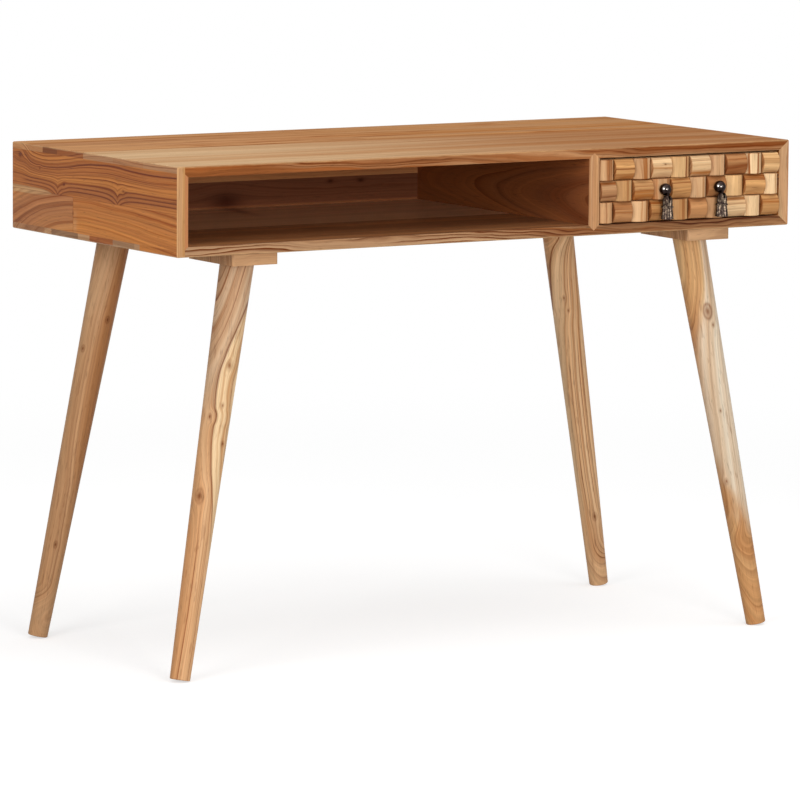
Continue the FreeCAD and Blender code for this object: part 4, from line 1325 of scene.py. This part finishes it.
def tassel_cords(low, high, sizes):
    """Loops on the head of a tassel, its twisted band and the strands of its skirt."""
    axis = (low + high) / 2.0
    mesh = bmesh.new()
    band = low.z + BAND_HEIGHT
    twisted_band(mesh, axis, band, sizes.band)
    shoulder = low.z + HEAD_SHOULDER
    for number in (-1, 0, 1, 2):
        middle = -math.pi / 2.0 - VIEW_YAW + number * math.pi / 3.0
        for half_width, rise in LOOPS:
            points = []
            for step in range(LOOP_STEPS + 1):
                turn = math.pi * step / LOOP_STEPS
                height = band + LOOP_FOOT + rise * math.sin(turn)
                radius = HEAD_RADIUS - max(0.0, height - shoulder) * HEAD_TAPER
                points.append(round_axis(axis, middle + half_width * math.cos(turn), radius, height))
            cord(mesh, axis, points, sizes.loop)
    chance = random.Random(11)
    for strand in range(sizes.strands):
        angle = 2.0 * math.pi * (strand + 0.5) / sizes.strands - math.pi / 2.0
        sway = chance.uniform(-STRAND_SWAY, STRAND_SWAY)
        foot = low.z + chance.uniform(*STRAND_ENDS)
        points = []
        for step in range(STRAND_STEPS + 1):
            share = step / STRAND_STEPS
            turn = angle + sway * math.sin(math.pi * share)
            radius = SKIRT_FOOT + (SKIRT_TOP - SKIRT_FOOT) * share
            points.append(round_axis(axis, turn, radius, foot + (band - foot) * share))
        cord(mesh, axis, points, sizes.strand)
    return mesh


class DESK_OT_pulls(bpy.types.Operator):
    """Finish the knobs and the pins, and wind the cords of the tassels"""

    bl_idname = "desk.pulls"
    bl_label = "Pulls"

    def execute(self, context):
        metal = context.scene.desk_metal
        polished = polished_bronze(metal, [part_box(f"{side}_knob") for side in ("left", "right")])
        antique = bronze("antique_bronze", metal.bronze, blend(metal.bronze, metal.rubbed, 0.2), 0.30)
        worn = bronze("rubbed_bronze", blend(metal.bronze, metal.rubbed, 0.1), metal.rubbed, 0.20)
        dress("drop_pins", antique)
        for side in ("left", "right"):
            dress(f"{side}_knob", polished)
            dress(f"{side}_drop", antique)
            mesh = tassel_cords(*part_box(f"{side}_drop"), context.scene.desk_sizes)
            new_piece(f"{side}_tassel_cords", mesh, worn, f"{side}_tassel", "bronze")
        return {"FINISHED"}


def new_lamp(name, power, size, spot, aim):
    """A large soft lamp that points at a spot."""
    data = bpy.data.lights.new(name, "AREA")
    data.shape = "RECTANGLE"
    data.size, data.size_y = size
    data.energy = power
    lamp = bpy.data.objects.new(name, data)
    lamp.location = spot
    lamp.rotation_mode = "QUATERNION"
    lamp.rotation_quaternion = (Vector(aim) - Vector(spot)).to_track_quat("-Z", "Y")
    bpy.context.scene.collection.objects.link(lamp)


def seen(finish):
    """1 for rays that show the backdrop: from the camera, and by way of gloss or glass."""
    path = finish.node("ShaderNodeLightPath", output="Is Camera Ray")
    both = finish.math("MAXIMUM", path, path.other("Is Glossy Ray"))
    return finish.math("MAXIMUM", both, path.other("Is Transmission Ray"))


class DESK_OT_stage(bpy.types.Operator):
    """Set the floor, the light and the camera"""

    bl_idname = "desk.stage"
    bl_label = "Stage"

    def floor(self, scene, stage):
        """A round floor that keeps the shadow, turns white far out and shows nothing from below."""
        mesh = bmesh.new()
        bmesh.ops.create_circle(mesh, cap_ends=True, segments=96, radius=STAGE_RADIUS)
        data = bpy.data.meshes.new("floor")
        mesh.to_mesh(data)
        mesh.free()
        floor = bpy.data.objects.new("floor", data)
        floor.location.z = CAD_BOX[0].z
        scene.collection.objects.link(floor)
        finish = new_finish("pale_floor")
        x, y, _ = finish.place()
        rim = finish.smooth(finish.length(x, y), *STAGE_FADE)
        shown = seen(finish)
        lit = finish.node("ShaderNodeBsdfDiffuse", sockets={"Color": colour(stage.floor)})
        lift = finish.node("ShaderNodeEmission", sockets={"Strength": stage.lift})
        lifted = finish.node("ShaderNodeAddShader", sockets={0: lit, 1: lift})
        near = finish.node("ShaderNodeMixShader", sockets={0: shown, 1: lit, 2: lifted})
        white = finish.node("ShaderNodeEmission", sockets={"Strength": 1.0})
        face = finish.node("ShaderNodeMixShader", sockets={0: rim * shown, 1: near, 2: white})
        clear = finish.node("ShaderNodeBsdfTransparent")
        under = finish.node("ShaderNodeNewGeometry", output="Backfacing")
        finish.finish_with(finish.node("ShaderNodeMixShader", sockets={0: under, 1: face, 2: clear}))
        data.materials.append(finish.owner)

    def backdrop(self, scene, stage):
        """White where it is seen, and an even light on the desk."""
        scene.world = bpy.data.worlds.new("backdrop")
        finish = Finish(scene.world)
        light, white = (
            finish.node("ShaderNodeBackground", sockets={"Color": colour(WHITE), "Strength": strength})
            for strength in (stage.sky, 1.0)
        )
        finish.finish_with(finish.node("ShaderNodeMixShader", sockets={0: seen(finish), 1: light, 2: white}))

    def camera(self, scene, stage):
        """Stands where the photograph was taken from."""
        data = bpy.data.cameras.new("camera")
        data.lens = stage.lens
        data.sensor_width = 36.0
        data.clip_end = 200.0
        camera = bpy.data.objects.new("camera", data)
        reach = math.cos(VIEW_PITCH)
        ahead = Vector((math.sin(VIEW_YAW) * reach, math.cos(VIEW_YAW) * reach, -math.sin(VIEW_PITCH)))
        upright = VIEW_RIGHT.cross(ahead)
        right = VIEW_RIGHT * math.cos(VIEW_ROLL) + upright * math.sin(VIEW_ROLL)
        up = upright * math.cos(VIEW_ROLL) - VIEW_RIGHT * math.sin(VIEW_ROLL)
        turn = Matrix((right, up, -ahead)).transposed().to_4x4()
        camera.matrix_world = Matrix.Translation(VIEW_SPOT) @ turn
        scene.collection.objects.link(camera)
        scene.camera = camera

    def execute(self, context):
        scene = context.scene
        stage = scene.desk_stage
        scene.view_settings.view_transform = "Standard"
        self.floor(scene, stage)
        self.backdrop(scene, stage)
        new_lamp("front_lamp", stage.front, size=(1.8, 1.4), spot=(-1.1, -5.7, 1.2), aim=(0.0, 0.0, 0.68))
        new_lamp("side_lamp", stage.side, size=(2.2, 1.8), spot=(-5.0, -2.6, 2.2), aim=(0.0, 0.0, 0.6))
        new_lamp("overhead_lamp", stage.overhead, size=(3.0, 3.0), spot=(0.3, -0.8, 3.4), aim=(0.0, 0.0, 0.6))
        self.camera(scene, stage)
        return {"FINISHED"}


OPERATORS = (
    DESK_OT_top, DESK_OT_bottom, DESK_OT_ends, DESK_OT_shelf, DESK_OT_legs, DESK_OT_blocks,
    DESK_OT_drawer_box, DESK_OT_fixings, DESK_OT_weave, DESK_OT_pulls, DESK_OT_stage,
)
SETTINGS = {
    "desk_sizes": DeskSizeSettings,
    "desk_wood": DeskWoodSettings,
    "desk_metal": DeskMetalSettings,
    "desk_stage": DeskStageSettings,
}


class DESK_PT_looks(bpy.types.Panel):
    """Pieces of the desk and their settings"""

    bl_idname = "DESK_PT_looks"
    bl_label = "Writing desk"
    bl_space_type = "VIEW_3D"
    bl_region_type = "UI"
    bl_category = "Desk"

    def draw(self, context):
        for name, group in SETTINGS.items():
            column = self.layout.column()
            for setting in group.__annotations__:
                column.prop(getattr(context.scene, name), setting)
        for operator in OPERATORS:
            self.layout.operator(operator.bl_idname)


def register():
    """Adds the settings, the operators and the panel."""
    for group in (*SETTINGS.values(), *OPERATORS, DESK_PT_looks):
        bpy.utils.register_class(group)
    for name, group in SETTINGS.items():
        setattr(bpy.types.Scene, name, PointerProperty(type=group))


def unregister():
    """Takes the settings, the operators and the panel away again."""
    for name in SETTINGS:
        delattr(bpy.types.Scene, name)
    for group in reversed((*SETTINGS.values(), *OPERATORS, DESK_PT_looks)):
        bpy.utils.unregister_class(group)


def main():
    """Makes each piece in turn."""
    register()
    for operator in OPERATORS:
        group, name = operator.bl_idname.split(".")
        getattr(getattr(bpy.ops, group), name)()


if __name__ == "__main__":
    main()
